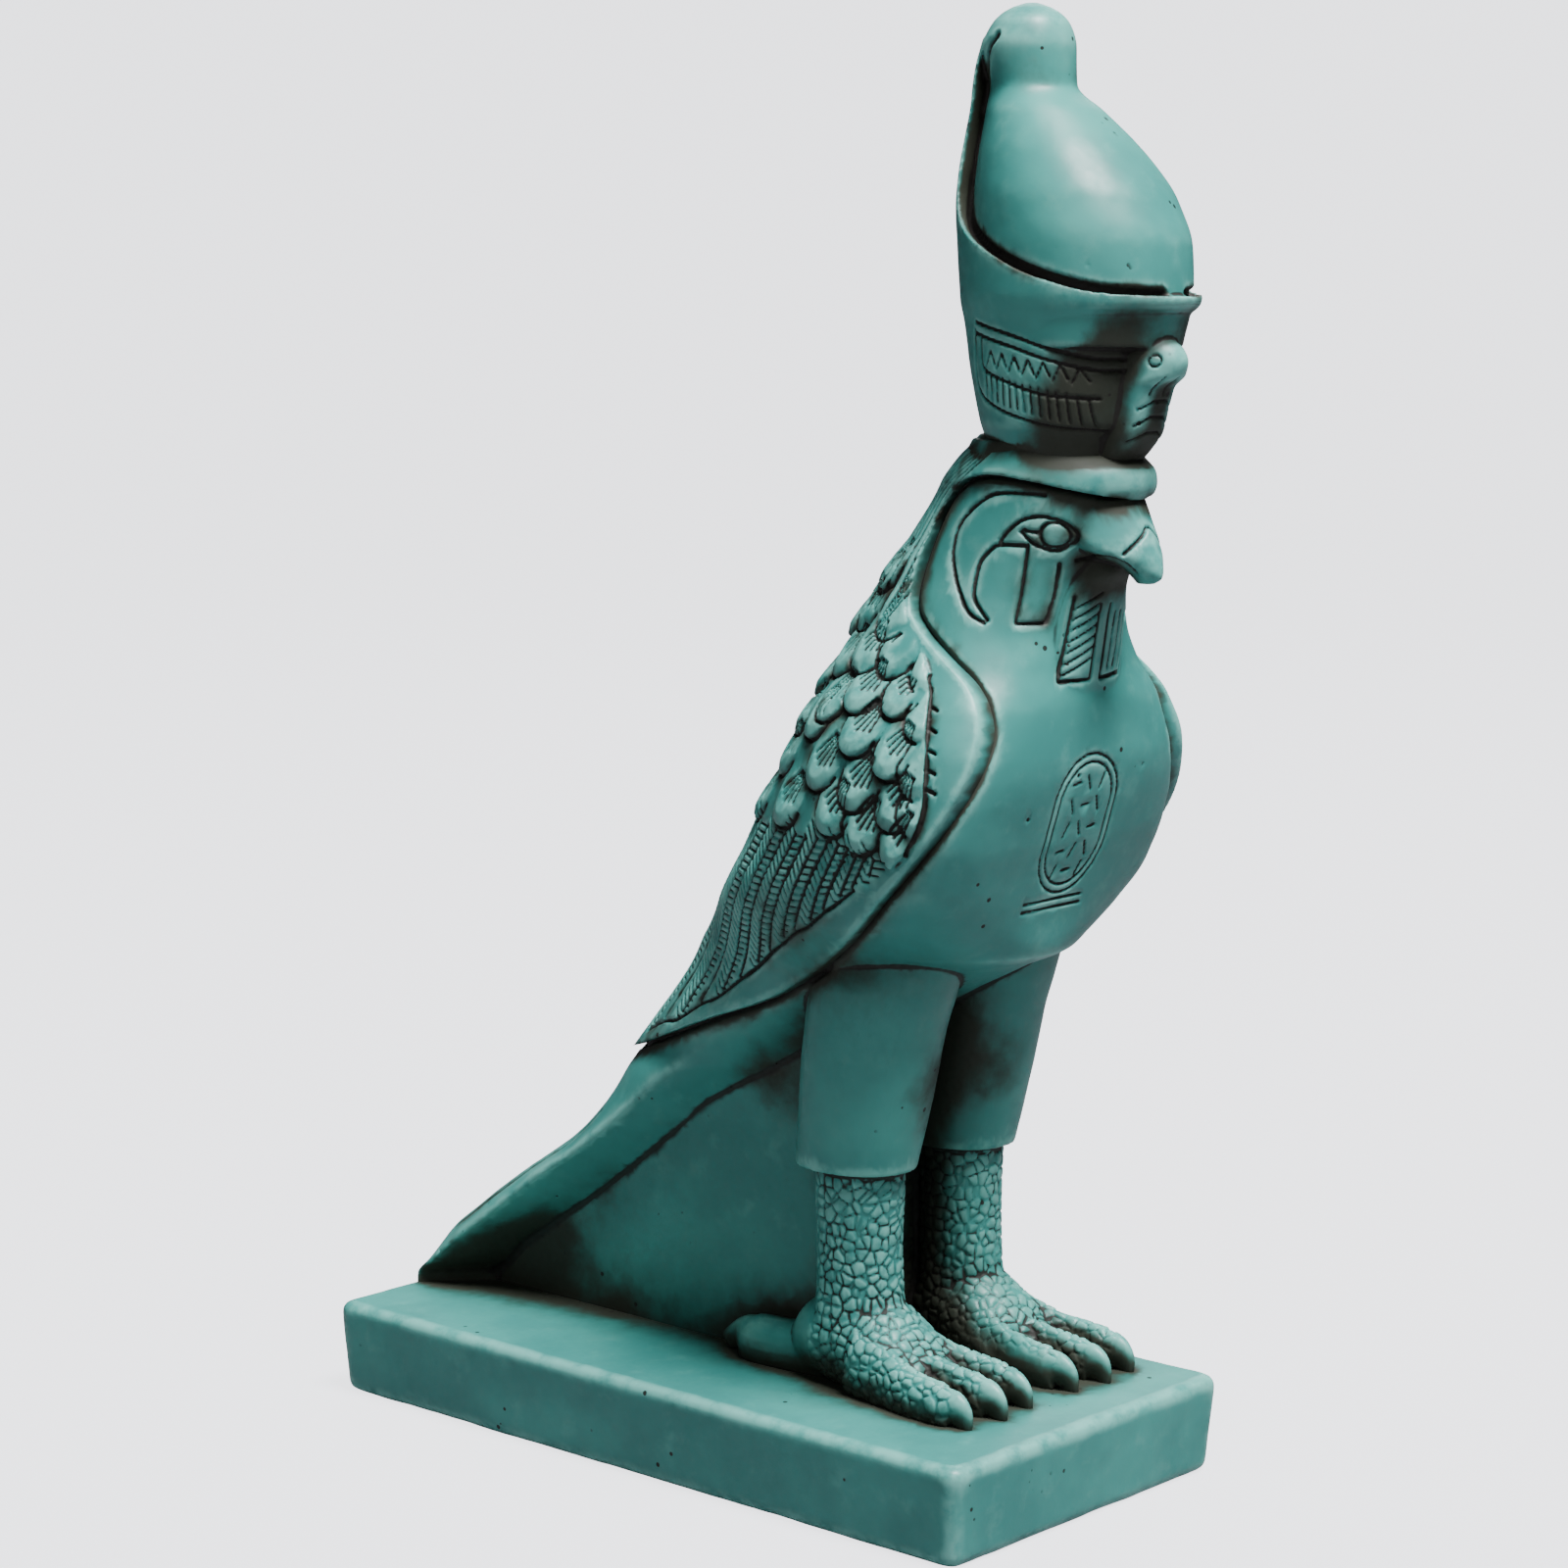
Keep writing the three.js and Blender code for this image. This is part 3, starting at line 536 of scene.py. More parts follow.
class Trees:
    """The trees that the statue's relief is made with."""

    # How far a line is followed towards the figure
    REACH = 200.0
    # From where along a quill its barbs get smaller, and how small they end
    TAPER_FROM, TAPER_TO = 0.55, 0.45
    # Width of the valley between two scales, in cells
    VALLEY = 0.17

    def __init__(self) -> None:
        """Builds each tree once."""
        self.landing = self._landing()
        self.incise = self._incise()
        self.chevrons = self._chevrons()
        self.laid = self._laid()
        self.scales = self._scales()
        self.weather = self._weather()

    def _landing(self) -> Tree:
        """Lines drawn off the figure, moved along their aim until they land on it."""
        tree = Tree("Lines that land on a surface", {"Surface": bpy.types.Object, "Step": float})
        line = tree.node("GeometryNodeCurveToMesh", {"Curve": tree.stepped("Step")}).outputs[0]
        ray = tree.node("GeometryNodeRaycast", {
            "Target Geometry": tree.shape("Surface"),
            "Ray Direction": tree.attribute("aim", "FLOAT_VECTOR"),
            "Ray Length": self.REACH})
        missed = tree.node("FunctionNodeBooleanMath", {0: ray.outputs["Is Hit"]}, operation="NOT")
        landed = tree.node("GeometryNodeDeleteGeometry", {
            "Geometry": line, "Selection": missed.outputs[0]}).outputs[0]
        return tree.finish(tree.node("GeometryNodeSetPosition", {
            "Geometry": landed, "Position": ray.outputs["Hit Position"]}).outputs[0])

    @staticmethod
    def _incise() -> Tree:
        """Cuts grooves along lines, and keeps how deep the dark wash sits in them."""
        tree = Tree("Incised lines", {
            "Lines": bpy.types.Object, "Width": float, "Depth": float})
        near = tree.node("GeometryNodeProximity", {
            "Target": tree.shape("Lines")}, target_element="EDGES")
        half = tree.product(tree.input("Width"), 0.5)
        profile = tree.fading(near.outputs["Distance"], 0.0, half)
        moved = tree.pushed(tree.product(profile, tree.input("Depth"), -1.0))
        return tree.finish(tree.washed(moved, profile))

    def _chevrons(self) -> Tree:
        """Sets a pair of barbs at an even pitch along each quill, smaller towards its tip."""
        tree = Tree("Barbs along quills", {"Barbs": bpy.types.Object, "Pitch": float})
        tangent = tree.node("GeometryNodeInputTangent").outputs[0]
        along = tree.node("GeometryNodeSplineParameter").outputs["Factor"]
        size = tree.node("ShaderNodeMapRange", {
            "Value": along, "From Min": self.TAPER_FROM, "To Min": 1.0,
            "To Max": self.TAPER_TO}).outputs[0]
        return tree.finish(tree.node("GeometryNodeInstanceOnPoints", {
            "Points": tree.stepped("Pitch"), "Instance": tree.shape("Barbs"),
            "Rotation": tree.turn(tree.attribute("aim", "FLOAT_VECTOR"), tangent),
            "Scale": size}).outputs[0])

    @staticmethod
    def _laid() -> Tree:
        """Lays copies of one small form on the wing, each turned to its place."""
        tree = Tree("Feathers laid on the wing", {"Feather": bpy.types.Object, "Lift": float})
        out = tree.attribute("out", "FLOAT_VECTOR")
        raised = tree.node("GeometryNodeSetPosition", {
            "Geometry": tree.input("Geometry"),
            "Offset": tree.scaled(out, tree.input("Lift"))}).outputs[0]
        placed = tree.node("GeometryNodeInstanceOnPoints", {
            "Points": raised, "Instance": tree.shape("Feather"),
            "Rotation": tree.turn(out, tree.attribute("flow", "FLOAT_VECTOR"))}).outputs[0]
        real = tree.node("GeometryNodeRealizeInstances", {"Geometry": placed}).outputs[0]
        return tree.finish(tree.node("GeometryNodeStoreNamedAttribute", {
            "Geometry": real, "Name": "aim", "Value": tree.scaled(out, -1.0)},
            data_type="FLOAT_VECTOR").outputs[0])

    def _scales(self) -> Tree:
        """Horny scales on the shanks: cells with dark valleys between, where the mask says."""
        tree = Tree("Horny scales", {"Cell": float, "Depth": float})
        cells = tree.node("ShaderNodeTexVoronoi", {
            "Vector": tree.place(), "Scale": tree.math("DIVIDE", 1.0, tree.input("Cell")),
            "Randomness": 0.75}, feature="DISTANCE_TO_EDGE")
        valley = tree.fading(cells.outputs["Distance"], 0.0, self.VALLEY)
        depth = tree.product(valley, tree.attribute("horny"), tree.input("Depth"), -1.0)
        return tree.finish(tree.pushed(depth))

    @staticmethod
    def _weather() -> Tree:
        """Slight unevenness all over, and pits and chips that are fewer but deeper."""
        tree = Tree("Weathered skin", {"Swell": float, "Pits": float})
        place = tree.place()
        swell = tree.node("ShaderNodeTexNoise", {
            "Vector": place, "Scale": 0.11, "Detail": 2.0}).outputs["Fac"]
        wave = tree.product(tree.math("SUBTRACT", swell, 0.5), tree.input("Swell"))
        spots = tree.node("ShaderNodeTexVoronoi", {
            "Vector": place, "Scale": 0.16, "Randomness": 1.0}, feature="F1")
        hole = tree.fading(spots.outputs["Distance"], 0.03, 0.075)
        some = tree.node("ShaderNodeTexNoise", {"Vector": place, "Scale": 0.045}).outputs["Fac"]
        where = tree.node("ShaderNodeMapRange", {
            "Value": some, "From Min": 0.58, "From Max": 0.66}).outputs[0]
        pit = tree.product(hole, where)
        moved = tree.pushed(tree.math("SUBTRACT", wave, tree.product(pit, tree.input("Pits"))))
        return tree.finish(tree.washed(moved, pit))


# Carved lines


@dataclass
class Carving:
    """Lines of one tool: their width, their depth and where they run."""

    width: float
    depth: float
    lines: list[tuple[Side, Polyline]] = field(default_factory=list)

    # How far off the figure a line is drawn, and the level that a slanting one is drawn for
    BESIDE = 70.0
    BEFORE = 120.0
    BEHIND = 90.0
    LEVEL = 60.0

    def add(self, side: Side, line: Polyline, parts: int = 0) -> None:
        """Adds a line, rounded where parts is more than none."""
        self.lines.append((side, rounded(line, parts) if parts else line))

    def drawn(self, name: str) -> bpy.types.Object:
        """The lines as loose edges off the figure, each with its aim towards it."""
        points: list[tuple[float, ...]] = []
        aims: list[tuple[float, ...]] = []
        edges: list[tuple[int, int]] = []
        for side, line in self.lines:
            for aim, places in self._views(side, line):
                first = len(points)
                points.extend(places)
                aims.extend([aim] * len(line))
                edges.extend((first + i, first + i + 1) for i in range(len(line) - 1))
        obj = new_object(name, np.array(points), [], edges)
        store(obj.data, "aim", np.array(aims), "FLOAT_VECTOR")
        return obj

    def _views(self, side: Side, line: Polyline) -> list[tuple]:
        """Aim and points of a line for each place that it is drawn from."""
        if side is Side.BOTH_FLANKS:
            return [((-way, 0.0, 0.0), [(way * self.BESIDE, y, h) for y, h in line])
                    for way in (-1.0, 1.0)]
        if side is Side.FRONT:
            return [((0.0, 1.0, 0.0), [(u, -self.BEFORE, h) for u, h in line])]
        slant = math.sqrt(0.5)
        return [((0.0, -slant, -slant), [
            (u, y + self.BEHIND, self.BEHIND + self.LEVEL - y) for u, y in line])]


def store(mesh: bpy.types.Mesh, name: str, values: Array, kind: str = "FLOAT") -> None:
    """Keeps a value for each vertex of a mesh under a name."""
    layer = mesh.attributes.get(name) or mesh.attributes.new(name, kind, "POINT")
    key = "vector" if kind == "FLOAT_VECTOR" else "value"
    layer.data.foreach_set(key, np.ascontiguousarray(values, dtype=np.float32).ravel())


def stored(mesh: bpy.types.Mesh, name: str) -> Array:
    """The values kept under a name, or zeros."""
    out = np.zeros(len(mesh.vertices), dtype=np.float32)
    layer = mesh.attributes.get(name)
    if layer:
        layer.data.foreach_get("value", out)
    return out


# Finish


class ShaderTree(Nodes):
    """Short ways to add nodes to a material or to a shader group."""

    def attribute(self, name: str) -> bpy.types.NodeSocket:
        """The values kept on a mesh under a name."""
        return self.node("ShaderNodeAttribute", attribute_name=name).outputs["Fac"]

    def ramp(self, value: object, low: float, high: float) -> bpy.types.NodeSocket:
        """A smooth step from 0 at low to 1 at high."""
        return self.node("ShaderNodeMapRange", {
            "Value": value, "From Min": low, "From Max": high},
            interpolation_type="SMOOTHSTEP").outputs[0]

    def noise(self, place: object, scale: float, detail: float) -> bpy.types.NodeSocket:
        """Fractal noise at a scale in features per metre."""
        return self.node("ShaderNodeTexNoise", {
            "Vector": place, "Scale": scale, "Detail": detail, "Roughness": 0.6}).outputs["Fac"]

    def mix(self, factor: object, first: object, second: object) -> bpy.types.NodeSocket:
        """The second colour over the first by a factor."""
        node = self.node("ShaderNodeMix", data_type="RGBA")
        wires = {"Factor_Float": factor, "A_Color": first, "B_Color": second}
        for socket in node.inputs:
            if socket.identifier in wires:
                self.wire(wires[socket.identifier], socket)
        return node.outputs[2]


def shader_group(name: str, inputs: dict[str, str], outputs: dict[str, str]) -> ShaderTree:
    """A new shader group with its sockets, ready to be filled.

    Args:
        name: The group's name.
        inputs: Kind of socket for each input.
        outputs: Kind of socket for each output.

    Returns:
        The means to fill the group.
    """
    group = bpy.data.node_groups.new(name, "ShaderNodeTree")
    for in_out, sockets in (("INPUT", inputs), ("OUTPUT", outputs)):
        for label, kind in sockets.items():
            group.interface.new_socket(label, in_out=in_out, socket_type=f"NodeSocket{kind}")
    return ShaderTree(group)


def new_material(name: str) -> tuple[bpy.types.Material, ShaderTree]:
    """A material with an empty node tree, and the means to fill it."""
    material = bpy.data.materials.new(name)
    material.use_nodes = True
    material.node_tree.nodes.clear()
    return material, ShaderTree(material.node_tree)


@dataclass(frozen=True)
class AntiqueWashAndShade:
    """The antique wash and painted shade: dark wash in the grooves, brown in the hollows that is partly
    wash and partly painted shade, painted shade as a darker teal where a piece is closed in, and pale
    on worn edges.

    Scales are in features per metre. A pair says where a mask starts and where it is full,
    and a share how much of the colour below it then covers.
    """

    clouds: float = 34.0
    mottles: float = 210.0
    grains: float = 900.0
    deep: tuple[float, float] = (0.35, 0.68)
    speckle: tuple[float, float] = (0.52, 0.78)
    speckle_share: float = 0.22
    rubbed: tuple[float, float] = (0.10, 0.6)
    rub_patches: tuple[float, float] = (0.28, 0.58)
    rub_share: float = 0.8
    uneven: float = 0.22
    cloudy: float = 0.45
    # Painted shade: a darker teal over the body where the far ray measure finds a piece closed in
    painted_shade: tuple[float, float] = (0.05, 0.38)
    painted_shade_share: float = 0.78
    # Brown wash in crevices and hollows, which also stands in as painted shade there
    stain_and_shade: tuple[float, float] = (0.09, 0.33)
    stain_and_shade_share: float = 0.93
    hollow_less: float = 0.14
    groove: tuple[float, float] = (0.20, 0.58)
    groove_share: float = 0.97
    rough: float = 0.34
    rough_dirt: float = 0.25
    rough_grain: float = 0.16

    def group(self) -> bpy.types.NodeTree:
        """The shader group that gives the washed colour with its painted shade, and its roughness."""
        make = shader_group("Antique wash", {
            "Place": "Vector", "Groove": "Float", "Crevice": "Float", "Hollow": "Float",
            "Edge": "Float", "Wash": "Color", "Stain": "Color", "Film": "Color",
            "Body": "Color", "Worn": "Color", "Deep": "Color",
        }, {"Color": "Color", "Roughness": "Float"})
        start = make.node("NodeGroupInput").outputs
        cloud = make.noise(start["Place"], self.clouds, 4.0)
        mottle = make.noise(start["Place"], self.mottles, 5.0)
        grain = make.noise(start["Place"], self.grains, 3.0)
        body = make.mix(make.ramp(cloud, *self.deep), start["Deep"], start["Body"])
        speckle = make.product(make.ramp(mottle, *self.speckle), self.speckle_share)
        body = make.mix(speckle, body, start["Worn"])
        rub = make.product(
            make.ramp(start["Edge"], *self.rubbed), make.ramp(mottle, *self.rub_patches),
            self.rub_share)
        body = make.mix(rub, body, start["Worn"])
        uneven = make.product(make.math("SUBTRACT", mottle, 0.5), self.uneven)
        cloudy = make.product(make.math("SUBTRACT", cloud, 0.5), self.cloudy)
        hollow = make.total(start["Hollow"], uneven, cloudy)
        # Painted shade: the body turns towards a dark teal where the piece is closed in
        painted_shade = make.product(make.ramp(hollow, *self.painted_shade), self.painted_shade_share)
        body = make.mix(painted_shade, body, start["Film"])
        # Brown wash, partly painted shade, where the piece is closed in close by or further off
        crevice = make.total(start["Crevice"], uneven, cloudy)
        hollow = make.math("SUBTRACT", hollow, self.hollow_less)
        stain_and_shade = make.ramp(make.math("MAXIMUM", crevice, hollow), *self.stain_and_shade)
        body = make.mix(make.product(stain_and_shade, self.stain_and_shade_share), body, start["Stain"])
        groove = make.ramp(make.total(start["Groove"], make.product(uneven, 0.6)), *self.groove)
        color = make.mix(make.product(groove, self.groove_share), body, start["Wash"])
        dirt = make.product(make.math("MAXIMUM", stain_and_shade, groove), self.rough_dirt)
        make.node("NodeGroupOutput", {
            "Color": color,
            "Roughness": make.total(dirt, make.product(grain, self.rough_grain), self.rough)})
        return make.tree


@dataclass(frozen=True)
class CastGrain:
    """Fine cast grain with pinholes: scales in features per metre, and shares of the height."""

    pinholes: float = 420.0
    pinhole: tuple[float, float] = (0.1, 0.2)
    clusters: float = 70.0
    cluster: tuple[float, float] = (0.56, 0.68)
    grains: float = 1500.0
    grain_share: float = 0.35
    waves: float = 260.0
    wave_share: float = 0.65

    def group(self) -> bpy.types.NodeTree:
        """The shader group that gives a height for bump and a mask of the pinholes."""
        make = shader_group(
            "Cast grain", {"Place": "Vector", "Pinholes": "Float"},
            {"Height": "Float", "Speck": "Float"})
        start = make.node("NodeGroupInput").outputs
        cells = make.node("ShaderNodeTexVoronoi", {
            "Vector": start["Place"], "Scale": self.pinholes, "Randomness": 1.0})
        hole = make.math("SUBTRACT", 1.0, make.ramp(cells.outputs["Distance"], *self.pinhole))
        sparse = make.ramp(make.noise(start["Place"], self.clusters, 2.0), *self.cluster)
        speck = make.product(hole, sparse, start["Pinholes"])
        grain = make.product(make.noise(start["Place"], self.grains, 4.0), self.grain_share)
        wave = make.product(make.noise(start["Place"], self.waves, 3.0), self.wave_share)
        height = make.math("SUBTRACT", make.total(grain, wave), speck)
        make.node("NodeGroupOutput", {"Height": height, "Speck": speck})
        return make.tree


@dataclass(frozen=True)
class Composite:
    """Turquoise cast composite: its colours in linear light, a painted shade colour among them, and how
    rough the casting is.
    """

    body: tuple[float, ...] = (0.060, 0.315, 0.280, 1.0)
    deep: tuple[float, ...] = (0.038, 0.225, 0.205, 1.0)
    worn: tuple[float, ...] = (0.19, 0.52, 0.46, 1.0)
    # Painted shade: the body's teal, darkened
    painted_shade: tuple[float, ...] = (0.018, 0.075, 0.062, 1.0)
    wash: tuple[float, ...] = (0.012, 0.010, 0.008, 1.0)
    # Brown of the wash in recesses, also used there as painted shade
    stain_and_shade: tuple[float, ...] = (0.026, 0.024, 0.014, 1.0)
    pinholes: float = 1.0
    grain: float = 0.00006
    bump: float = 0.5
    refraction: float = 1.5
    shine: float = 0.42

    def material(self, patina_and_shade: bpy.types.NodeTree, grain: bpy.types.NodeTree) -> bpy.types.Material:
        """The material that every piece of the casting wears.

        Args:
            patina_and_shade: The shared group for the antique wash and its painted shade.
            grain: The shared group for the cast grain.

        Returns:
            The new material.
        """
        material, make = new_material("turquoise_composite")
        place = make.node("ShaderNodeTexCoord").outputs["Object"]
        cast = make.node("ShaderNodeGroup", {
            "Place": place, "Pinholes": self.pinholes}, node_tree=grain)
        groove = make.math("MAXIMUM", make.attribute("groove"), cast.outputs["Speck"])
        # The crevice and hollow values bring in the brown wash and the painted shade
        wash = make.node("ShaderNodeGroup", {
            "Place": place, "Groove": groove, "Crevice": make.attribute("crevice"),
            "Hollow": make.attribute("hollow"), "Edge": make.attribute("edge"),
            "Wash": self.wash, "Stain": self.stain_and_shade, "Film": self.painted_shade, "Body": self.body,
            "Worn": self.worn, "Deep": self.deep}, node_tree=patina_and_shade)
        bump = make.node("ShaderNodeBump", {
            "Strength": self.bump, "Distance": self.grain, "Height": cast.outputs["Height"]})
        shader = make.node("ShaderNodeBsdfPrincipled", {
            "Base Color": wash.outputs["Color"], "Roughness": wash.outputs["Roughness"],
            "Normal": bump.outputs[0], "IOR": self.refraction, "Specular IOR Level": self.shine})
        make.node("ShaderNodeOutputMaterial", {"Surface": shader.outputs[0]})
        return material


@dataclass(frozen=True)
class PaleCloth:
    """The plain pale ground that the statue stands on."""

    color: tuple[float, ...] = (0.20, 0.20, 0.215, 1.0)
    glow: tuple[float, ...] = (0.86, 0.87, 0.92, 1.0)
    lift: float = 2.9
    rough: float = 0.95
    shine: float = 0.1

    def material(self) -> bpy.types.Material:
        """A matte material that the camera sees paler than the statue does."""
        material, make = new_material("pale_ground")
        seen = make.node("ShaderNodeLightPath").outputs["Is Camera Ray"]
        shader = make.node("ShaderNodeBsdfPrincipled", {
            "Base Color": self.color, "Roughness": self.rough, "Emission Color": self.glow,
            "Emission Strength": make.product(seen, self.lift),
            "Specular IOR Level": self.shine})
        make.node("ShaderNodeOutputMaterial", {"Surface": shader.outputs[0]})
        return material


# The figure's forms

BODY = Sections(np.array([
    [-1.2, 44.0, 60.4, 61.9, 19.1, 1.0, 1.8],
    [1.4, 44.0, 60.4, 61.9, 19.1, 1.0, 1.8],
    [4.2, 41.1, 57.3, 62.0, 18.8, 1.0, 1.8],
    [7.6, 37.1, 53.4, 61.6, 18.2, 1.0, 1.8],
    [12.3, 28.2, 47.5, 56.9, 17.2, 1.0, 1.8],
    [20.1, 13.2, 37.5, 46.4, 16.1, 1.0, 1.8],
    [26.7, 4.6, 27.8, 36.8, 15.4, 1.0, 1.8],
    [34.6, -7.8, 18.4, 29.4, 14.5, 1.0, 1.9],
    [39.6, -13.0, 13.0, 26.4, 14.2, 1.2, 2.0],
    [43.6, -16.0, 7.0, 23.6, 14.0, 1.5, 2.0],
    [49.6, -21.0, -2.0, 18.4, 15.4, 1.8, 2.0],
    [55.6, -32.0, -13.0, 13.8, 16.9, 1.8, 2.0],
    [58.6, -37.4, -19.0, 11.8, 18.2, 1.8, 2.0],
    [61.6, -43.4, -23.0, 9.8, 19.8, 1.8, 2.0],
    [64.6, -49.2, -28.0, 6.7, 22.0, 2.0, 2.15],
    [70.3, -50.4, -34.0, 2.1, 25.8, 2.8, 2.3],
    [76.2, -52.0, -38.0, -2.9, 27.6, 3.8, 2.4],
    [82.3, -54.2, -40.0, -6.7, 27.8, 4.0, 2.4],
    [94.3, -56.8, -41.6, -14.0, 26.2, 3.8, 2.4],
    [100.3, -56.8, -41.0, -16.9, 23.6, 3.3, 2.35],
    [106.0, -56.2, -40.6, -19.5, 20.2, 2.6, 2.25],
    [110.6, -56.2, -40.6, -21.3, 18.0, 2.3, 2.12],
    [114.6, -56.8, -41.0, -23.0, 16.4, 2.3, 2.0],
    [119.6, -58.0, -42.8, -26.9, 14.6, 2.4, 2.0],
    [125.0, -60.4, -44.8, -30.0, 13.2, 2.4, 2.0],
    [130.6, -61.6, -47.0, -33.6, 12.0, 2.2, 2.0],
    [137.0, -60.0, -49.0, -37.5, 11.0, 2.0, 2.0],
]))
HOOD = np.array([
    [118.6, -58.8, -42.5, -24.2, 16.8, 2.4, 2.0],
    [124.0, -61.6, -44.6, -27.9, 14.8, 2.2, 2.0],
    [129.0, -63.6, -46.6, -31.2, 13.3, 1.85, 2.0],
    [131.2, -64.6, -47.2, -32.6, 13.1, 1.85, 2.0],
    [132.8, -64.4, -47.9, -33.8, 12.6, 1.85, 2.0],
    [134.4, -62.8, -48.6, -35.1, 11.8, 1.85, 2.0],
    [136.0, -59.6, -49.6, -36.8, 11.0, 2.0, 2.0],
    [137.6, -57.5, -50.0, -38.2, 10.0, 2.0, 2.0],
])
CLOAK_STEP = 1.4
CLOAK_FROM = 34.0
WING = BODY.rows[(BODY.rows[:, 0] > CLOAK_FROM) & (BODY.rows[:, 0] < HOOD[0, 0])]
CLOAK = Sections(np.concatenate([Sections(WING).grown(CLOAK_STEP).rows, HOOD]))
RED_CROWN = Sections(np.array([
    [134.8, -60.6, -51.0, -40.2, 10.4, 2.1, 2.0],
    [137.8, -61.6, -51.0, -39.5, 11.5, 2.1, 2.0],
    [139.6, -63.2, -51.0, -39.1, 12.3, 2.1, 2.0],
    [146.0, -64.4, -51.2, -37.4, 13.0, 2.1, 2.0],
    [151.2, -64.8, -51.5, -36.2, 13.1, 2.1, 2.0],
    [153.8, -67.4, -52.0, -35.7, 13.6, 2.1, 2.0],
    [155.8, -70.2, -52.0, -35.3, 14.1, 2.1, 2.0],
    [157.2, -70.4, -52.0, -35.2, 14.3, 2.1, 2.0],
    [163.6, -69.2, -52.0, -34.6, 14.4, 2.1, 2.0],
    [169.6, -66.0, -50.0, -34.2, 13.6, 2.1, 2.0],
    [175.6, -60.6, -48.0, -34.5, 11.8, 2.1, 2.0],
    [181.6, -54.0, -45.0, -35.2, 8.9, 2.1, 2.0],
    [187.6, -49.0, -42.5, -36.0, 7.2, 2.1, 2.0],
    [191.6, -47.0, -41.5, -37.0, 5.6, 2.1, 2.0],
]))
BULB = Sections(np.array([
    [150.0, -67.6, -54.0, -37.6, 12.6, 2.0, 2.0],
    [157.6, -69.0, -54.0, -37.2, 13.5, 2.0, 2.0],
    [163.6, -68.6, -54.0, -37.0, 13.7, 2.0, 2.0],
    [169.6, -66.0, -53.0, -37.0, 13.1, 2.0, 2.0],
    [175.6, -61.2, -50.5, -37.3, 11.2, 2.0, 2.0],
    [181.6, -54.6, -47.0, -37.8, 8.2, 2.0, 2.0],
    [185.4, -50.0, -44.4, -38.0, 6.2, 2.0, 2.0],
    [190.6, -49.8, -43.4, -37.0, 6.5, 2.0, 2.0],
    [193.6, -48.9, -43.6, -38.2, 5.4, 2.0, 2.0],
    [195.6, -46.9, -43.7, -40.4, 3.3, 2.0, 2.0],
    [196.5, -44.6, -43.7, -42.8, 0.9, 2.0, 2.0],
]))
RIM: Polyline = [
    (-80, 156.6), (-72, 156.7), (-65, 157.2), (-59, 158.6), (-52, 160.8), (-45.6, 163.4),
    (-41, 166), (-38.4, 169.5), (-37.8, 174), (-37.9, 182), (-38.6, 189), (-40.4, 191.6),
]
CLOAK_EDGE: Polyline = [
    (-80, 128.5), (-65.6, 128.6), (-62.4, 129.7), (-55, 131.5), (-47.6, 132.4), (-42, 131.2),
    (-38.6, 127.2), (-36.9, 120), (-37.6, 114.4), (-40.6, 111.2), (-46.4, 107.2),
    (-50.8, 104), (-53.4, 100.6), (-54.5, 96), (-53.6, 90.6), (-50, 83.6), (-44, 76.6),
    (-35.6, 69), (-25.7, 62.5), (-13.6, 56), (-0.3, 51), (11.6, 46.3), (23.1, 42.1),
]
# Front border of the field of small feathers, from its top to its foot
FIELD_FRONT: Polyline = [
    (-35.2, 121), (-36.0, 116), (-38.4, 112), (-43.4, 107.6), (-45.1, 105.4), (-47.1, 101.5),
    (-48.8, 96), (-49.6, 90.7), (-49.2, 86), (-47.0, 81.4), (-44.0, 79.0), (-40.0, 77.0),
]


def field_front(heights: Array | float) -> Array | float:
    """Where along the wing the field's front border runs at any heights."""
    border = np.array(FIELD_FRONT)[::-1]
    return np.interp(heights, border[:, 1], border[:, 0])


@dataclass
class Workshop:
    """What every sub-assembly shares: the trees, the finish and the pieces made so far."""

    trees: Trees
    finish: bpy.types.Material
    swell: float = 0.35
    pits: float = 0.3
    pieces: list[bpy.types.Object] = field(default_factory=list)

    def land(self, lines: bpy.types.Object, obj: bpy.types.Object) -> bpy.types.Object:
        """Moves drawn lines along their aim onto a piece."""
        return self.trees.landing.run(lines, Surface=obj, Step=LINE_STEP, Finish=self.finish)

    def incise(
        self, obj: bpy.types.Object, lines: bpy.types.Object, width: float, depth: float
    ) -> None:
        """Cuts landed lines into a piece and deletes them."""
        self.trees.incise.run(obj, Lines=lines, Width=width, Depth=depth, Finish=self.finish)
        drop(lines)

    def carve(self, obj: bpy.types.Object, carvings: list[Carving]) -> None:
        """Lands every carving's lines on a piece before it cuts any of them in.

        Args:
            obj: The dense piece.
            carvings: The lines of each tool.
        """
        landed = [self.land(carving.drawn(f"{obj.name}_lines"), obj) for carving in carvings]
        for lines, carving in zip(landed, carvings):
            self.incise(obj, lines, carving.width, carving.depth)

    def complete(self, obj: bpy.types.Object, limit: int = TRIANGLE_LIMIT) -> bpy.types.Object:
        """Weathers a piece, reads its grooves and edges, thins it and sets its finish."""
        self.trees.weather.run(obj, Swell=self.swell, Pits=self.pits, Finish=self.finish)
        PatinaAndShade.read_curvature(obj.data)
        thinned(obj, limit)
        obj.data.materials.clear()
        obj.data.materials.append(self.finish)
        obj.data.shade_smooth()
        self.pieces.append(obj)
        LOG.info("%s: %d triangles", obj.name, len(obj.data.polygons))
        return obj


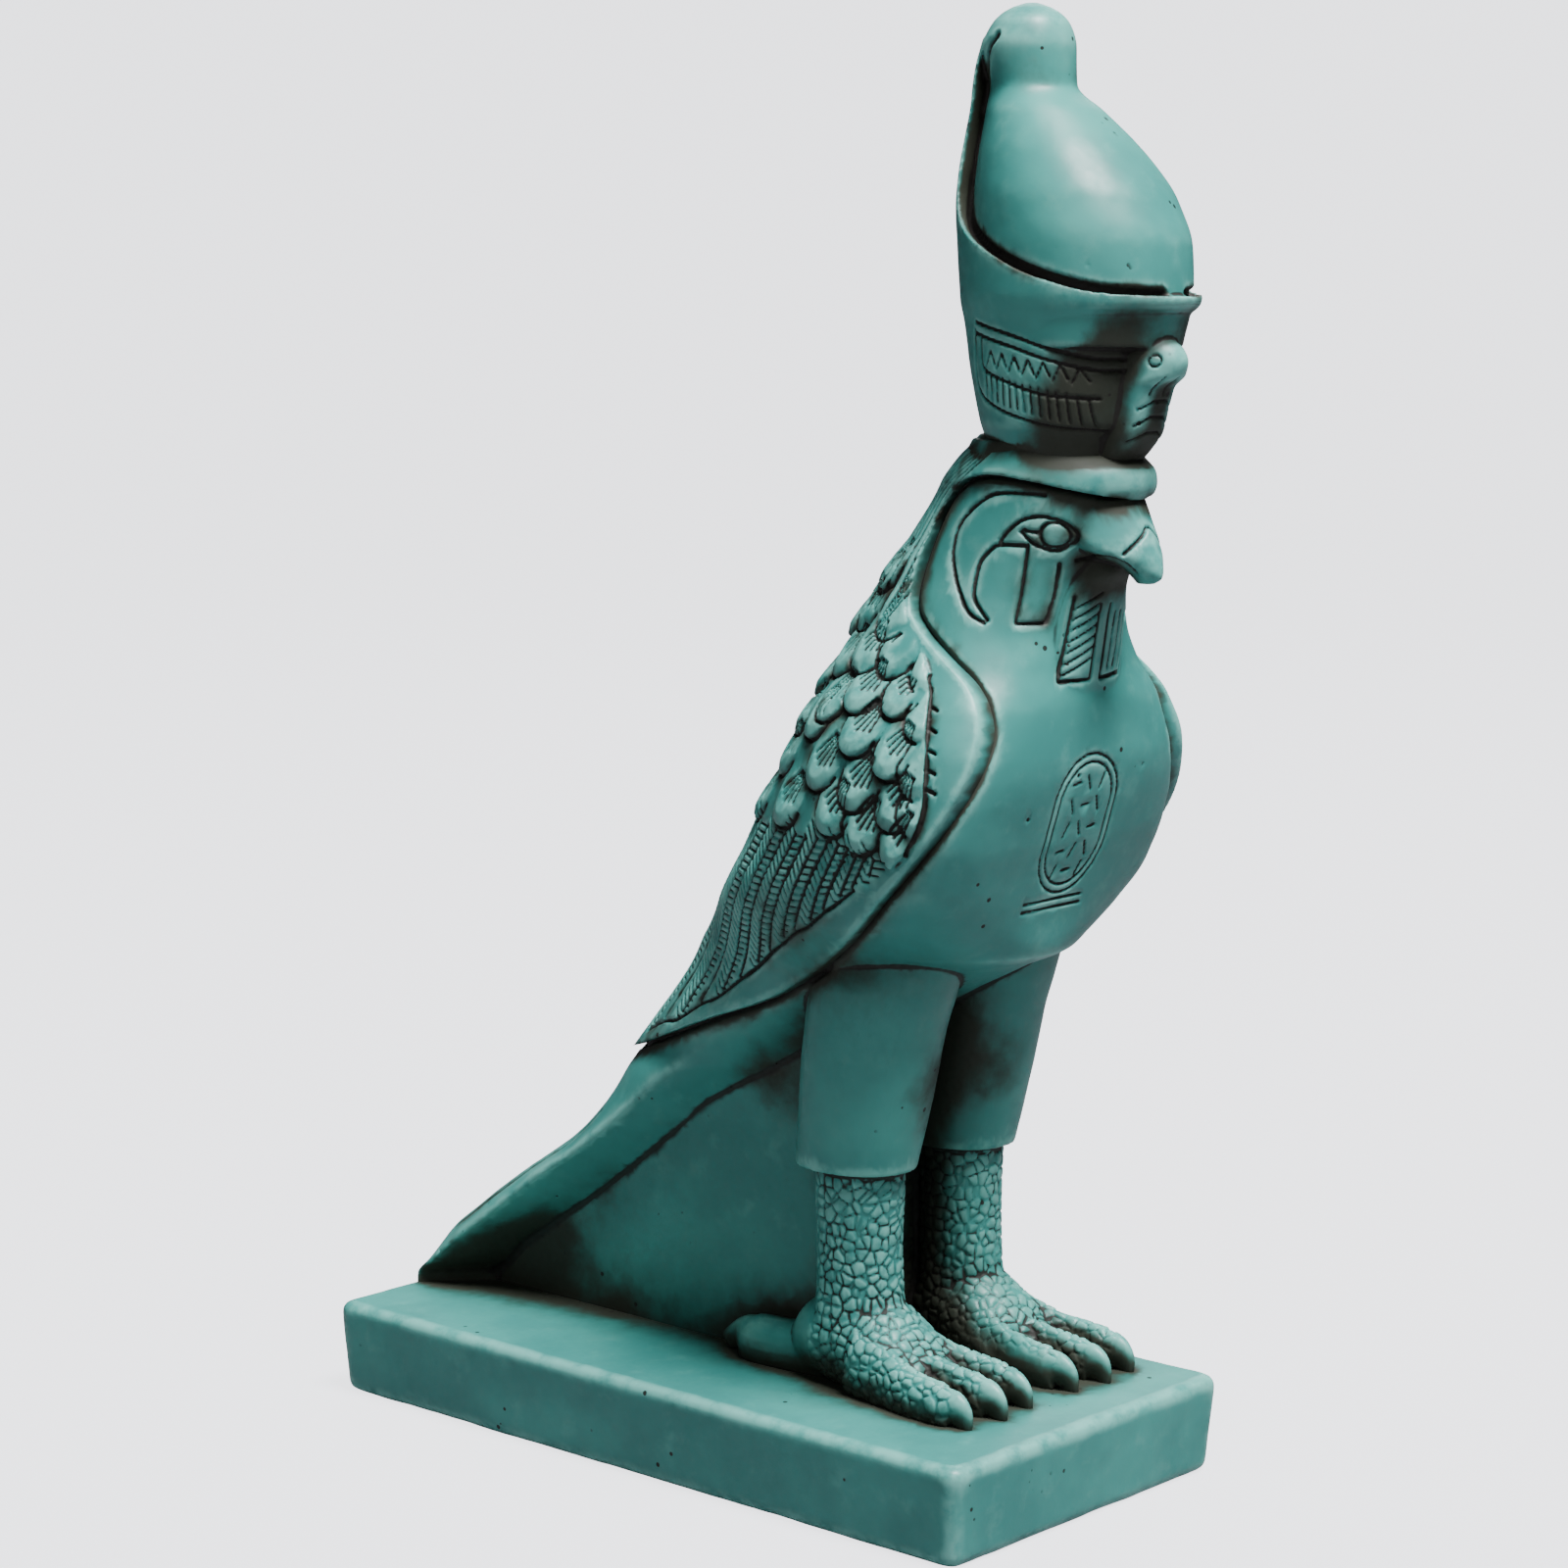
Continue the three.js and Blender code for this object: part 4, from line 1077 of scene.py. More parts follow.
@dataclass
class Plinth:
    """The oblong slab under the figure."""

    length: float = 124.0
    width: float = 62.0
    thickness: float = 14.4
    corner: float = 2.4
    edge: float = 1.6
    draft: float = 0.8
    steps: int = 6
    voxel: float = 0.55
    triangles: int = 90000

    def make(self, shop: Workshop) -> bpy.types.Object:
        """Builds the slab in the figure's frame, with worn corners."""
        bends = [n / self.steps * math.pi / 2 for n in range(self.steps + 1)]
        inward = [self.edge * (1 - math.sin(a)) for a in bends]
        upward = [self.edge * (1 - math.cos(a)) for a in bends]
        rings = [self._ring(i + self.draft, z) for i, z in zip(inward, upward)]
        rings += [self._ring(i, self.thickness - z) for i, z in zip(upward, inward)]
        obj = remeshed(skin("plinth", np.array(rings) - FIGURE_PLACE), self.voxel)
        return shop.complete(obj, self.triangles)

    def _ring(self, inset: float, z: float) -> list[tuple[float, float, float]]:
        """Outline of the slab at one height."""
        x, y = self.width / 2 - inset, self.length / 2 - inset
        radius = max(self.corner - inset * 0.5, 0.4)
        ring = []
        for corner, (sx, sy) in enumerate([(1, 1), (-1, 1), (-1, -1), (1, -1)]):
            for n in range(self.steps + 1):
                a = (corner + n / self.steps) * math.pi / 2
                ring.append((
                    sx * (x - radius) + radius * math.cos(a),
                    sy * (y - radius) + radius * math.sin(a), z))
        return ring


@dataclass
class LegsAndBody:
    """Face, throat, chest, legs, feet, web and tail."""

    web_half: float = 9.3
    leg_spread: float = 11.5
    hem: float = 32.1
    toe_spread: float = 6.8
    toe_half: float = 2.3
    scale_size: float = 1.75
    scale_depth: float = 0.3
    voxel: float = 0.3

    def make(self, shop: Workshop) -> bpy.types.Object:
        """Builds the body and carves its face, throat and chest."""
        parts = [BODY.solid("core"), self._beak(), self._jaw(), self._web()]
        for side in (-1, 1):
            parts += self._leg(side)
        obj = remeshed(joined("body", parts), self.voxel)
        self._mark_horny(obj)
        shop.trees.scales.run(
            obj, Cell=self.scale_size, Depth=self.scale_depth, Finish=shop.finish)
        shop.carve(obj, [
            self._deep_lines(), self._crease(), self._tail_lines(), self._fine_lines()])
        return shop.complete(obj)

    @staticmethod
    def _beak() -> bpy.types.Object:
        """The hooked beak."""
        return Sections(np.array([
            [117.8, -66.2, -65.0, -63.6, 0.7, 1.8, 2.0],
            [118.6, -67.6, -65.2, -63.0, 1.5, 1.7, 2.0],
            [119.4, -67.7, -65.0, -62.2, 2.3, 1.6, 2.0],
            [120.6, -67.5, -64.0, -60.4, 3.5, 1.5, 2.0],
            [121.6, -67.1, -62.4, -56.0, 5.2, 1.5, 2.0],
            [122.6, -66.6, -60.5, -54.0, 6.6, 1.5, 2.0],
            [124.4, -65.9, -58.8, -53.0, 7.4, 1.5, 2.0],
            [126.8, -64.5, -57.8, -52.0, 7.4, 1.6, 2.0],
            [129.6, -62.8, -57.0, -52.0, 7.0, 1.8, 2.0],
        ])).solid("beak", 64, 0.3)

    @staticmethod
    def _jaw() -> bpy.types.Object:
        """The flat throat with the lower jaw at its top, tucked under the beak."""
        return Sections(np.array([
            [101.0, -56.4, -52.0, -48.0, 8.4, 3.4, 2.0],
            [107.0, -57.4, -52.0, -48.0, 8.0, 3.4, 2.0],
            [113.0, -58.2, -52.0, -48.0, 7.6, 3.2, 2.0],
            [117.0, -59.4, -53.0, -48.0, 6.8, 2.6, 2.0],
            [119.6, -61.0, -54.0, -49.0, 5.4, 2.2, 2.0],
            [121.6, -60.6, -55.0, -50.0, 4.4, 2.0, 2.0],
        ])).solid("jaw", 48, 0.4)

    def _web(self) -> bpy.types.Object:
        """The web of stone that fills the space under the tail."""
        return slab("web", [
            (-20.5, -1.2), (54, -1.2), (55, 4), (46, 11.6), (36, 19.6), (26, 26.6), (16, 34.6),
            (8, 41.6), (0, 47.6), (-14, 58), (-26, 60), (-22, 44), (-20.5, 30),
        ], -self.web_half, self.web_half)

    def _leg(self, side: int) -> list[bpy.types.Object]:
        """Legging, shank, instep and toes of one leg."""
        middle = side * self.leg_spread
        legging = Sections(np.array([
            [self.hem, -33.2, -23.9, -15.4, 7.8, 2.2, 2.2],
            [38.6, -34.8, -25.0, -15.8, 8.5, 2.2, 2.2],
            [44.6, -36.2, -26.0, -16.2, 8.8, 2.2, 2.2],
            [52.6, -37.9, -27.6, -17.0, 9.0, 2.2, 2.2],
            [58.6, -39.8, -29.0, -18.0, 9.2, 2.2, 2.2],
            [62.8, -41.2, -30.2, -19.4, 8.5, 2.2, 2.2],
            [66.4, -41.8, -31.0, -21.4, 6.9, 2.2, 2.2],
            [69.4, -41.8, -31.8, -23.8, 4.0, 2.2, 2.2],
        ])).solid("legging", 72, 0.8, middle)
        shank = Sections(np.array([
            [5.0, -33.6, -25.0, -17.6, 6.4, 2.2, 2.2],
            [14.6, -31.8, -25.0, -18.8, 5.7, 2.2, 2.2],
            [22.6, -31.4, -25.0, -18.6, 5.8, 2.2, 2.2],
            [36.0, -31.8, -25.0, -18.2, 6.1, 2.2, 2.2],
        ])).solid("shank", 72, 0.8, middle)
        instep = limb("instep", [
            (middle, -16, 2.4, 3.6, 4.2), (middle, -20, 5.2, 5.6, 6.6),
            (middle, -26, 6.4, 6.6, 8.4), (middle, -31, 5, 7.4, 7.2),
            (side * (self.leg_spread + 0.3), -36, 3, 8.2, 5),
            (side * (self.leg_spread + 0.5), -40, 1.6, 8, 2.6)], 40)
        toes = []
        for n in (-1, 0, 1):
            root = side * (self.leg_spread + 0.4) + n * self.toe_spread * 0.72
            tip = side * (self.leg_spread + 0.7) + n * self.toe_spread
            short = 0.9 if n else 0.0
            half = self.toe_half
            toes.append(limb("toe", [
                (root, -29, 4.6, half + 0.2, 5.4), ((root + tip) / 2, -37, 2.8, half, 4.6),
                (tip, -44 + short, 2.3, half - 0.1, 3.9), (tip, -48 + short, 2.1, half - 0.1, 3.7),
                (tip, -49.7 + short, 2.3, half - 0.6, 2.9), (tip, -51.2 + short, 1.4, 1, 2.2),
                (tip, -52.4 + short, -0.6, 0.5, 0.8)]))
        hind = limb("hind_toe", [
            (middle, -20, 3, 3.6, 4.6), (side * 12.4, -13, 2.4, 3.3, 4.5),
            (side * 12.8, -7, 2.4, 3.1, 4.4), (side * 12.6, -4.6, 2.8, 2.2, 3.4),
            (side * 12.2, -2.6, 2.6, 1.3, 2.3), (side * 11.8, 0.4, 1.0, 0.7, 1.5)])
        return [legging, shank, instep, *toes, hind]

    def _mark_horny(self, obj: bpy.types.Object) -> None:
        """Marks where the legs are scaly: shanks in front, insteps and toes."""
        u, y, h = coordinates(obj.data).T
        outside = np.clip(np.abs(u) - 3.5, 0, 1)
        below = np.clip((self.hem - 0.4 - h) / 0.6, 0, 1)
        front = np.clip((-19.5 - y) / 2.5, 0, 1)
        before_claws = np.clip((y + 50) / 2, 0, 1)
        store(obj.data, "horny", outside * below * front * before_claws)

    @staticmethod
    def _deep_lines() -> Carving:
        """Outlines of the face, the gape, the throat panels and the chest."""
        cut_in = Carving(0.95, 0.62)
        flank = Side.BOTH_FLANKS
        cut_in.add(flank, [
            (-55.4, 129.9), (-52.8, 130.1), (-48.3, 129.9), (-45.7, 128.6), (-43.4, 126.5),
            (-42.3, 124.2), (-42.4, 121.3), (-43.7, 118.2), (-45.1, 116), (-46.7, 113.8),
            (-49.1, 112.4)], 4)
        cut_in.add(flank, [
            (-53.4, 123), (-50, 123), (-48.6, 122.3), (-47.2, 120.5), (-46.9, 118.1),
            (-47.1, 115.8), (-48.5, 113.9), (-49.4, 112.8)], 4)
        cut_in.add(flank, [(-53.6, 123), (-52.4, 112.3), (-54.8, 112.3), (-56.5, 120.4)])
        cut_in.add(flank, [
            (-52.6, 124.9), (-54.4, 123.2), (-56.4, 122.3), (-57.8, 122.9), (-58.8, 124.5),
            (-57.6, 126.3), (-55.2, 127), (-52.8, 126.5), (-50.8, 124.9), (-49.8, 123.4)], 4)
        cut_in.add(flank, [
            (-56.6 + 1.55 * math.cos(a), 124.5 + 1.75 * math.sin(a))
            for a in np.linspace(0, 2 * math.pi, 25)])
        cut_in.add(flank, [(-54.9, 124.8), (-53.9, 124.9), (-52.9, 125.2)])
        cut_in.add(flank, [
            (-57.7, 120.9), (-59.4, 121.6), (-61.2, 121.7), (-63, 121.4), (-64.2, 120.5),
            (-64.9, 119.4)], 3)
        near = [(-1.2, 114.6), (-1.4, 104.2), (-7.4, 104.2), (-6.6, 109.4), (-5.8, 115.9)]
        far = [(1.0, 114.6), (0.8, 104.2), (5.8, 104.7), (6.6, 109.4), (6.4, 115.4)]
        cut_in.add(Side.FRONT, near)
        cut_in.add(Side.FRONT, far)
        cut_in.add(flank, [(-64.3, 122), (-65.0, 123.2), (-65.4, 124.6), (-65.0, 126.2)], 3)
        return cut_in

    @staticmethod
    def _crease() -> Carving:
        """The dark crease where the face, the chest and the tail pass under the cloak's edge."""
        cut_in = Carving(2.5, 0.8)
        cut_in.add(Side.BOTH_FLANKS, [p for p in CLOAK_EDGE if p[0] > -66], 5)
        return cut_in

    @staticmethod
    def _tail_lines() -> Carving:
        """The line beside the tail's bead, on each side."""
        cut_in = Carving(0.9, 0.6)
        for side in (-1, 1):
            cut_in.add(Side.BACK, [
                (side * 12.4, 27.0), (side * 13.2, 33.0), (side * 14.0, 40.0), (side * 14.9, 48.0),
                (side * 15.8, 56.0), (side * 16.2, 61.0)], 4)
        return cut_in

    @staticmethod
    def _fine_lines() -> Carving:
        """Stripes of the throat panels, and the oval frame with its rows of plain strokes."""
        cut_in = Carving(0.62, 0.4)
        for n in range(7):
            h = 105.0 + 1.5 * n
            cut_in.add(Side.FRONT, [(-6.8 + 0.1 * n, h), (-1.6, h + 2.4)])
        for u in (2.2, 3.6, 5.0):
            cut_in.add(Side.FRONT, [(u + 0.3, 113.6), (u, 105.6)])
        for radius, top, low in ((7.1, 93.8, 73.6), (5.9, 92.6, 74.8)):
            arch = [(radius * math.cos(a), top - radius + radius * math.sin(a))
                    for a in np.linspace(0, math.pi, 13)]
            foot = [(radius * math.cos(a), low + radius + radius * math.sin(a))
                    for a in np.linspace(math.pi, 2 * math.pi, 13)]
            cut_in.add(Side.FRONT, [*arch, *foot, arch[0]])
        cut_in.add(Side.FRONT, [(-7.6, 71.4), (5.4, 71.6)])
        cut_in.add(Side.FRONT, [(-7.6, 72.6), (5.4, 72.8)])
        for row, h in enumerate((89.6, 86.4, 83.0, 79.8, 76.8)):
            for n in range(3):
                u = -2.9 + 2.9 * n
                lean = 0.5 if (row + n) % 2 else -0.4
                if (row * 2 + n) % 3 == 0:
                    cut_in.add(Side.FRONT, [(u - 0.9, h), (u + 0.9, h + 0.2)])
                else:
                    cut_in.add(Side.FRONT, [(u - lean, h + 1.1), (u + lean, h - 1.0)])
        return cut_in


@dataclass
class Cloak:
    """Hood and wings, with small feathers on the shoulder and long ones below."""

    voxel: float = 0.27
    feather_width: float = 7.0
    feather_length: float = 10.4
    feather_lift: float = 0.95
    wing_round: float = 0.011
    barb_pitch: float = 1.2
    quill_half: float = 2.3
    fan_lift: float = 4.0
    slit: tuple[float, float] = (0.72, 0.58)
    barb: tuple[float, float] = (0.55, 0.38)

    def make(self, shop: Workshop) -> bpy.types.Object:
        """Builds the cloak, lays its feathers and carves them."""
        base = CLOAK.solid("hood_and_wings", 160, 0.7)
        outline = [*rounded(CLOAK_EDGE, 5), (34.0, 42.0), (34.0, 140.0), (-80.0, 140.0)]
        kept_inside(base, slab("cloak_edge", outline, -40.0, 40.0))
        feather, fan, barb_pair = self._feather(), self._fan(), self._barb_pair()
        feathers = shop.trees.laid.run(
            self._places(), Feather=feather, Lift=0.0, Finish=shop.finish)
        self._keep_in_field(feathers)
        obj = remeshed(joined("hood_and_wings", [base, feathers]), self.voxel, 2)
        fans = shop.trees.laid.run(
            self._places(), Feather=fan, Lift=self.fan_lift, Finish=shop.finish)
        self._trim_to_field(fans)
        shop.land(fans, obj)
        barbs = self._quill_axes()
        shop.trees.chevrons.run(
            barbs, Barbs=barb_pair, Pitch=self.barb_pitch, Finish=shop.finish)
        shop.land(barbs, obj)
        shop.carve(obj, [self._deep_lines(), self._strands()])
        shop.incise(obj, fans, *self.slit)
        shop.incise(obj, barbs, *self.barb)
        drop(feather, fan, barb_pair)
        return shop.complete(obj)

    @staticmethod
    def _keep_in_field(feathers: bpy.types.Object) -> None:
        """Ends the feathers at the field's front border, where the wing's smooth margin begins."""
        points = coordinates(feathers.data)
        points[:, 1] = np.maximum(points[:, 1], field_front(points[:, 2]))
        set_coordinates(feathers.data, points)

    @staticmethod
    def _trim_to_field(lines: bpy.types.Object) -> None:
        """Cuts off what stands before the field's front border."""
        mesh = bmesh.new()
        mesh.from_mesh(lines.data)
        outside = [v for v in mesh.verts if v.co.y < field_front(v.co.z) + 0.4]
        bmesh.ops.delete(mesh, geom=outside, context="VERTS")
        mesh.to_mesh(lines.data)
        mesh.free()

    @staticmethod
    def _tips() -> list[tuple[float, float]]:
        """Side-view places of the small feathers' tips."""
        return [
            (-20.2, 100.2), (-24.8, 95.2), (-28.5, 88.9), (-32.1, 83.1),
            (-26.6, 110.0), (-30.5, 104.4), (-32.9, 99.2), (-34.6, 94.0), (-36.1, 86.9),
            (-37.8, 81.3),
            (-33.6, 109.4), (-36.6, 104.4), (-40.1, 99.2), (-41.7, 91.6), (-43.2, 84.9),
            (-44.3, 79.8),
            (-43.4, 102.6), (-45.4, 96.5), (-46.7, 89.5), (-47.2, 84.4),
            (-14.1, 95.4), (-17.9, 89.4), (-21.7, 83.1), (-25.4, 103.4), (-22.6, 108.6),
            (-29.4, 115.4), (-8.6, 88.4), (-12.2, 82.4), (-27.0, 97.6), (-19.6, 95.0),
        ]

    def _places(self) -> bpy.types.Object:
        """Points under the middles of the feathers, each with its way out and its flow."""
        points, outs, flows = [], [], []
        slope = np.array([0.47, -0.88])
        for y, h in self._tips():
            y0, h0 = np.array([y, h]) - slope * self.feather_length * 0.5
            frame = []
            for dy, dh in ((0, 0), (0.3, 0), (0, 0.3), slope * 0.3):
                frame.append(CLOAK.points(
                    np.array([h0 + dh]), np.array([CLOAK.angle(y0 + dy, h0 + dh)]))[0])
            middle, along, up, tip = frame
            # Past the back's outline the cloak has no such place
            if np.allclose(middle, along):
                continue
            out = np.cross(along - middle, up - middle)
            out /= np.linalg.norm(out)
            flow = tip - middle
            flow /= np.linalg.norm(flow)
            for side in (1, -1):
                mirror = np.array([side, 1, 1])
                points.append(middle * mirror)
                outs.append(out * mirror)
                flows.append(flow * mirror)
        obj = new_object("feather_places", np.array(points), [])
        store(obj.data, "out", np.array(outs), "FLOAT_VECTOR")
        store(obj.data, "flow", np.array(flows), "FLOAT_VECTOR")
        return obj

    def _feather(self) -> bpy.types.Object:
        """One small feather: flush at its root, lifted and rounded at its tip (+Y)."""
        half, length = self.feather_width / 2, self.feather_length
        rings = []
        for level in (0.0, 1.0):
            ring = []
            for a in np.arange(24) * math.pi / 12:
                c, s = math.cos(a), math.sin(a)
                x = half * math.copysign(abs(c) ** 0.8, c) * (1.0 if s < 0 else 1 - 0.12 * s)
                y = length / 2 * (math.copysign(abs(s) ** (1.15 if s > 0 else 0.5), s))
                lift = self.feather_lift * (0.55 * (1 + y / (length / 2)) - 0.25)
                ring.append((x, y, lift if level else -1.8))
            rings.append(ring)
        rings.insert(1, [(x * 1.02, y * 1.01, z - 0.4) for x, y, z in rings[1]])
        rings.append([(x * 0.5, y * 0.55 + 0.7, z + 0.35) for x, y, z in rings[2]])
        bent = np.array(rings)
        bent[..., 2] -= self.wing_round * (1.4 * bent[..., 0] ** 2 + bent[..., 1] ** 2)
        return skin("feather", bent)

    @staticmethod
    def _fan() -> bpy.types.Object:
        """The slits fanned from a feather's root towards its tip (+Y), and the tip's outline."""
        points, edges = [], []
        for n, x in enumerate((-2.0, -1.0, 0.0, 1.0, 2.0)):
            points += [(x * 0.45, -3.4, 0.0), (x * 0.8, -0.9, 0.0), (x, 1.7 - 0.5 * abs(x), 0.0)]
            edges += [(3 * n, 3 * n + 1), (3 * n + 1, 3 * n + 2)]
        tip = [(-3.5, 1.4), (-3.4, 2.8), (-2.6, 4.3), (-1.3, 5.3), (0.0, 5.6),
               (1.3, 5.3), (2.6, 4.3), (3.4, 2.8), (3.5, 1.4)]
        edges += [(len(points) + n, len(points) + n + 1) for n in range(len(tip) - 1)]
        points += [(x, y, 0.0) for x, y in tip]
        return new_object("fan", np.array(points), [], edges)

    @staticmethod
    def _quills() -> list[tuple[tuple[float, float], tuple[float, float]]]:
        """Root and tip of each long feather in side view, from the back to the front."""
        roots = [(-9.5, 83.0), (-15.5, 82.4), (-21, 82.2), (-26, 82.2), (-30.8, 82.2),
                 (-35, 81.8), (-38.6, 81.2), (-41.4, 80.4)]
        tips = [(18, 46.2), (8.4, 49.8), (-1.6, 54.8), (-11, 60.4), (-19.6, 65.6),
                (-27, 69.4), (-33.8, 73.6), (-39.4, 77.2)]
        return list(zip(roots, tips))

    def _quill_axes(self) -> bpy.types.Object:
        """The middles of the long feathers as lines to set barbs along."""
        axes = Carving(*self.barb)
        for quill in self._quills():
            axes.add(Side.BOTH_FLANKS, list(quill))
        return axes.drawn("quill_barbs")

    def _barb_pair(self) -> bpy.types.Object:
        """Two barbs that meet on the quill and point towards its tip (+Y)."""
        half = self.quill_half
        points = [(-half, -1.3, 0.0), (-0.25, 0.0, 0.0), (0.25, 0.0, 0.0), (half, -1.3, 0.0)]
        return new_object("barb_pair", np.array(points), [], [(0, 1), (2, 3)])

    def _deep_lines(self) -> Carving:
        """Edges between the long feathers, their shafts, and the small feathers' border."""
        cut_in = Carving(0.8, 0.62)
        quills = self._quills()
        for (a, b), (c, d) in zip(quills, quills[1:]):
            root = ((a[0] + c[0]) / 2, (a[1] + c[1]) / 2)
            tip = ((b[0] + d[0]) / 2 - 0.8, (b[1] + d[1]) / 2 + 0.6)
            cut_in.add(Side.BOTH_FLANKS, [root, tip])
        for root, tip in quills:
            cut_in.add(Side.BOTH_FLANKS, [root, (tip[0] - 1.2, tip[1] + 0.8)])
        cut_in.add(Side.BOTH_FLANKS, FIELD_FRONT[4:10], 4)
        for y, h in rounded(FIELD_FRONT[5:8], 2):
            cut_in.add(Side.BOTH_FLANKS, [(y, h), (y - 1.1, h - 0.5)])
        scallop: Polyline = []
        for (_, a), (_, b) in zip(quills, quills[1:]):
            scallop += [(a[0], a[1] - 0.6), ((a[0] + b[0]) / 2 - 1.2, (a[1] + b[1]) / 2 + 0.3)]
        cut_in.add(Side.BOTH_FLANKS, scallop, 3)
        return cut_in

    @staticmethod
    def _strands() -> Carving:
        """Locks of the hood that run down behind the face and gather over the shoulder."""
        cut_in = Carving(0.66, 0.55)
        path: Polyline = [
            (-46.5, 135.6), (-43.4, 132.8), (-39.0, 128.6), (-36.9, 123.1), (-35.2, 117.6),
            (-33.0, 112.6)]
        for n in range(6):
            cut_in.add(Side.BOTH_FLANKS, [
                (y + n * (0.95 + 0.02 * (135 - h)), h + n * (0.2 - 0.01 * (h - 112)))
                for y, h in path], 4)
        for n in range(4):
            cut_in.add(Side.BOTH_FLANKS, [
                (-36.5 - 0.2 * n, 120.4 - 1.5 * n), (-35.2, 116.6 - 1.1 * n),
                (-33.2, 112.2 - 0.5 * n)], 3)
        return cut_in


@dataclass
class DoubleCrown:
    """The red crown with its panel, the white crown's bulb inside it, and the cobra in front."""

    voxel: float = 0.3
    bars: int = 14
    triangles: int = 150000

    def make(self, shop: Workshop) -> bpy.types.Object:
        """Builds the crown and carves its panel and rim."""
        red = RED_CROWN.solid("red_crown", 128, 0.6)
        outline = [*rounded(RIM, 5), (-30.0, 191.6), (-30.0, 134.0), (-80.0, 134.0)]
        kept_inside(red, slab("rim", outline, -30.0, 30.0))
        cobra = Sections(np.array([
            [134.4, -62.2, -59.0, -55.0, 4.2, 3.0, 2.0],
            [136.4, -64.0, -60.0, -56.0, 4.4, 3.2, 2.0],
            [138.4, -65.6, -60.0, -56.0, 4.6, 3.4, 2.0],
            [142.6, -66.8, -60.0, -56.0, 4.7, 3.4, 2.0],
            [144.6, -67.6, -61.0, -57.0, 4.7, 3.0, 2.0],
            [146.2, -70.0, -62.0, -58.0, 4.6, 2.2, 2.0],
            [148.0, -70.6, -62.0, -58.0, 4.6, 2.0, 2.0],
            [149.8, -69.8, -62.0, -58.0, 4.2, 2.0, 2.0],
            [151.4, -67.4, -62.0, -58.0, 3.2, 2.0, 2.0],
        ])).solid("cobra", 64, 0.4)
        parts = [red, BULB.solid("bulb", 128, 0.6), cobra]
        obj = remeshed(joined("double_crown", parts), self.voxel)
        shop.carve(obj, [self._rim_groove(), self._panel(), self._motifs()])
        return shop.complete(obj, self.triangles)

    @staticmethod
    def _rim_groove() -> Carving:
        """The dark groove where the bulb rises out of the red crown."""
        cut_in = Carving(1.9, 0.9)
        cut_in.add(Side.BOTH_FLANKS, [
            (y - 0.06 * max(0.0, h - 160), h + 0.3) for y, h in rounded(RIM, 5) if y > -70])
        return cut_in

    @staticmethod
    def _panel() -> Carving:
        """Frame of the side panel."""
        cut_in = Carving(0.75, 0.5)
        top: Polyline = [
            (-43.8, 153), (-51.4, 151.3), (-56.3, 149.8), (-61.8, 148.4), (-64.1, 148.3)]
        cut_in.add(Side.BOTH_FLANKS, top, 4)
        cut_in.add(Side.BOTH_FLANKS, [(y + 0.1, h - 1.5) for y, h in top], 4)
        cut_in.add(Side.BOTH_FLANKS, [
            (-43.4, 152), (-43.5, 146.2), (-44.8, 143.3), (-48.3, 141.5), (-52.7, 140.2),
            (-56.9, 139.1), (-61.5, 138.6)], 4)
        cut_in.add(Side.BOTH_FLANKS, [
            (-44.9, 150.8), (-45.2, 147.6), (-46.6, 146.3), (-51, 144.9), (-55.4, 143.6),
            (-58.5, 143.2), (-62, 143)], 4)
        return cut_in

    def _motifs(self) -> Carving:
        """Upright bars under the inner line, plain strokes above it, and the cobra's marks."""
        cut_in = Carving(0.55, 0.4)
        for n in range(self.bars):
            t = (n + 0.5) / self.bars
            y = -45.6 - 16.0 * t
            cut_in.add(Side.BOTH_FLANKS, [(y, 146.4 - 3.4 * t), (y - 0.1, 142.9 - 3.9 * t)])
        for n in range(7):
            y = -47.2 - 2.2 * n
            h = 148.4 - 0.36 * n
            cut_in.add(Side.BOTH_FLANKS, [(y + 0.9, h - 1.2), (y, h + 0.9), (y - 0.9, h - 1.0)])
        for h in (137.2, 139.4, 141.6):
            cut_in.add(Side.FRONT, [(-3.6, h), (-1.4, h + 1.2), (1.4, h + 1.2), (3.6, h)])
        for u in (-2.6, 0.0, 2.6):
            cut_in.add(Side.FRONT, [(u, 143.6), (u * 0.8, 146.0)])
        cut_in.add(Side.BOTH_FLANKS, [
            (-68.0 + 0.8 * math.cos(a), 148.2 + 0.8 * math.sin(a))
            for a in np.linspace(0, 2 * math.pi, 13)])
        return cut_in


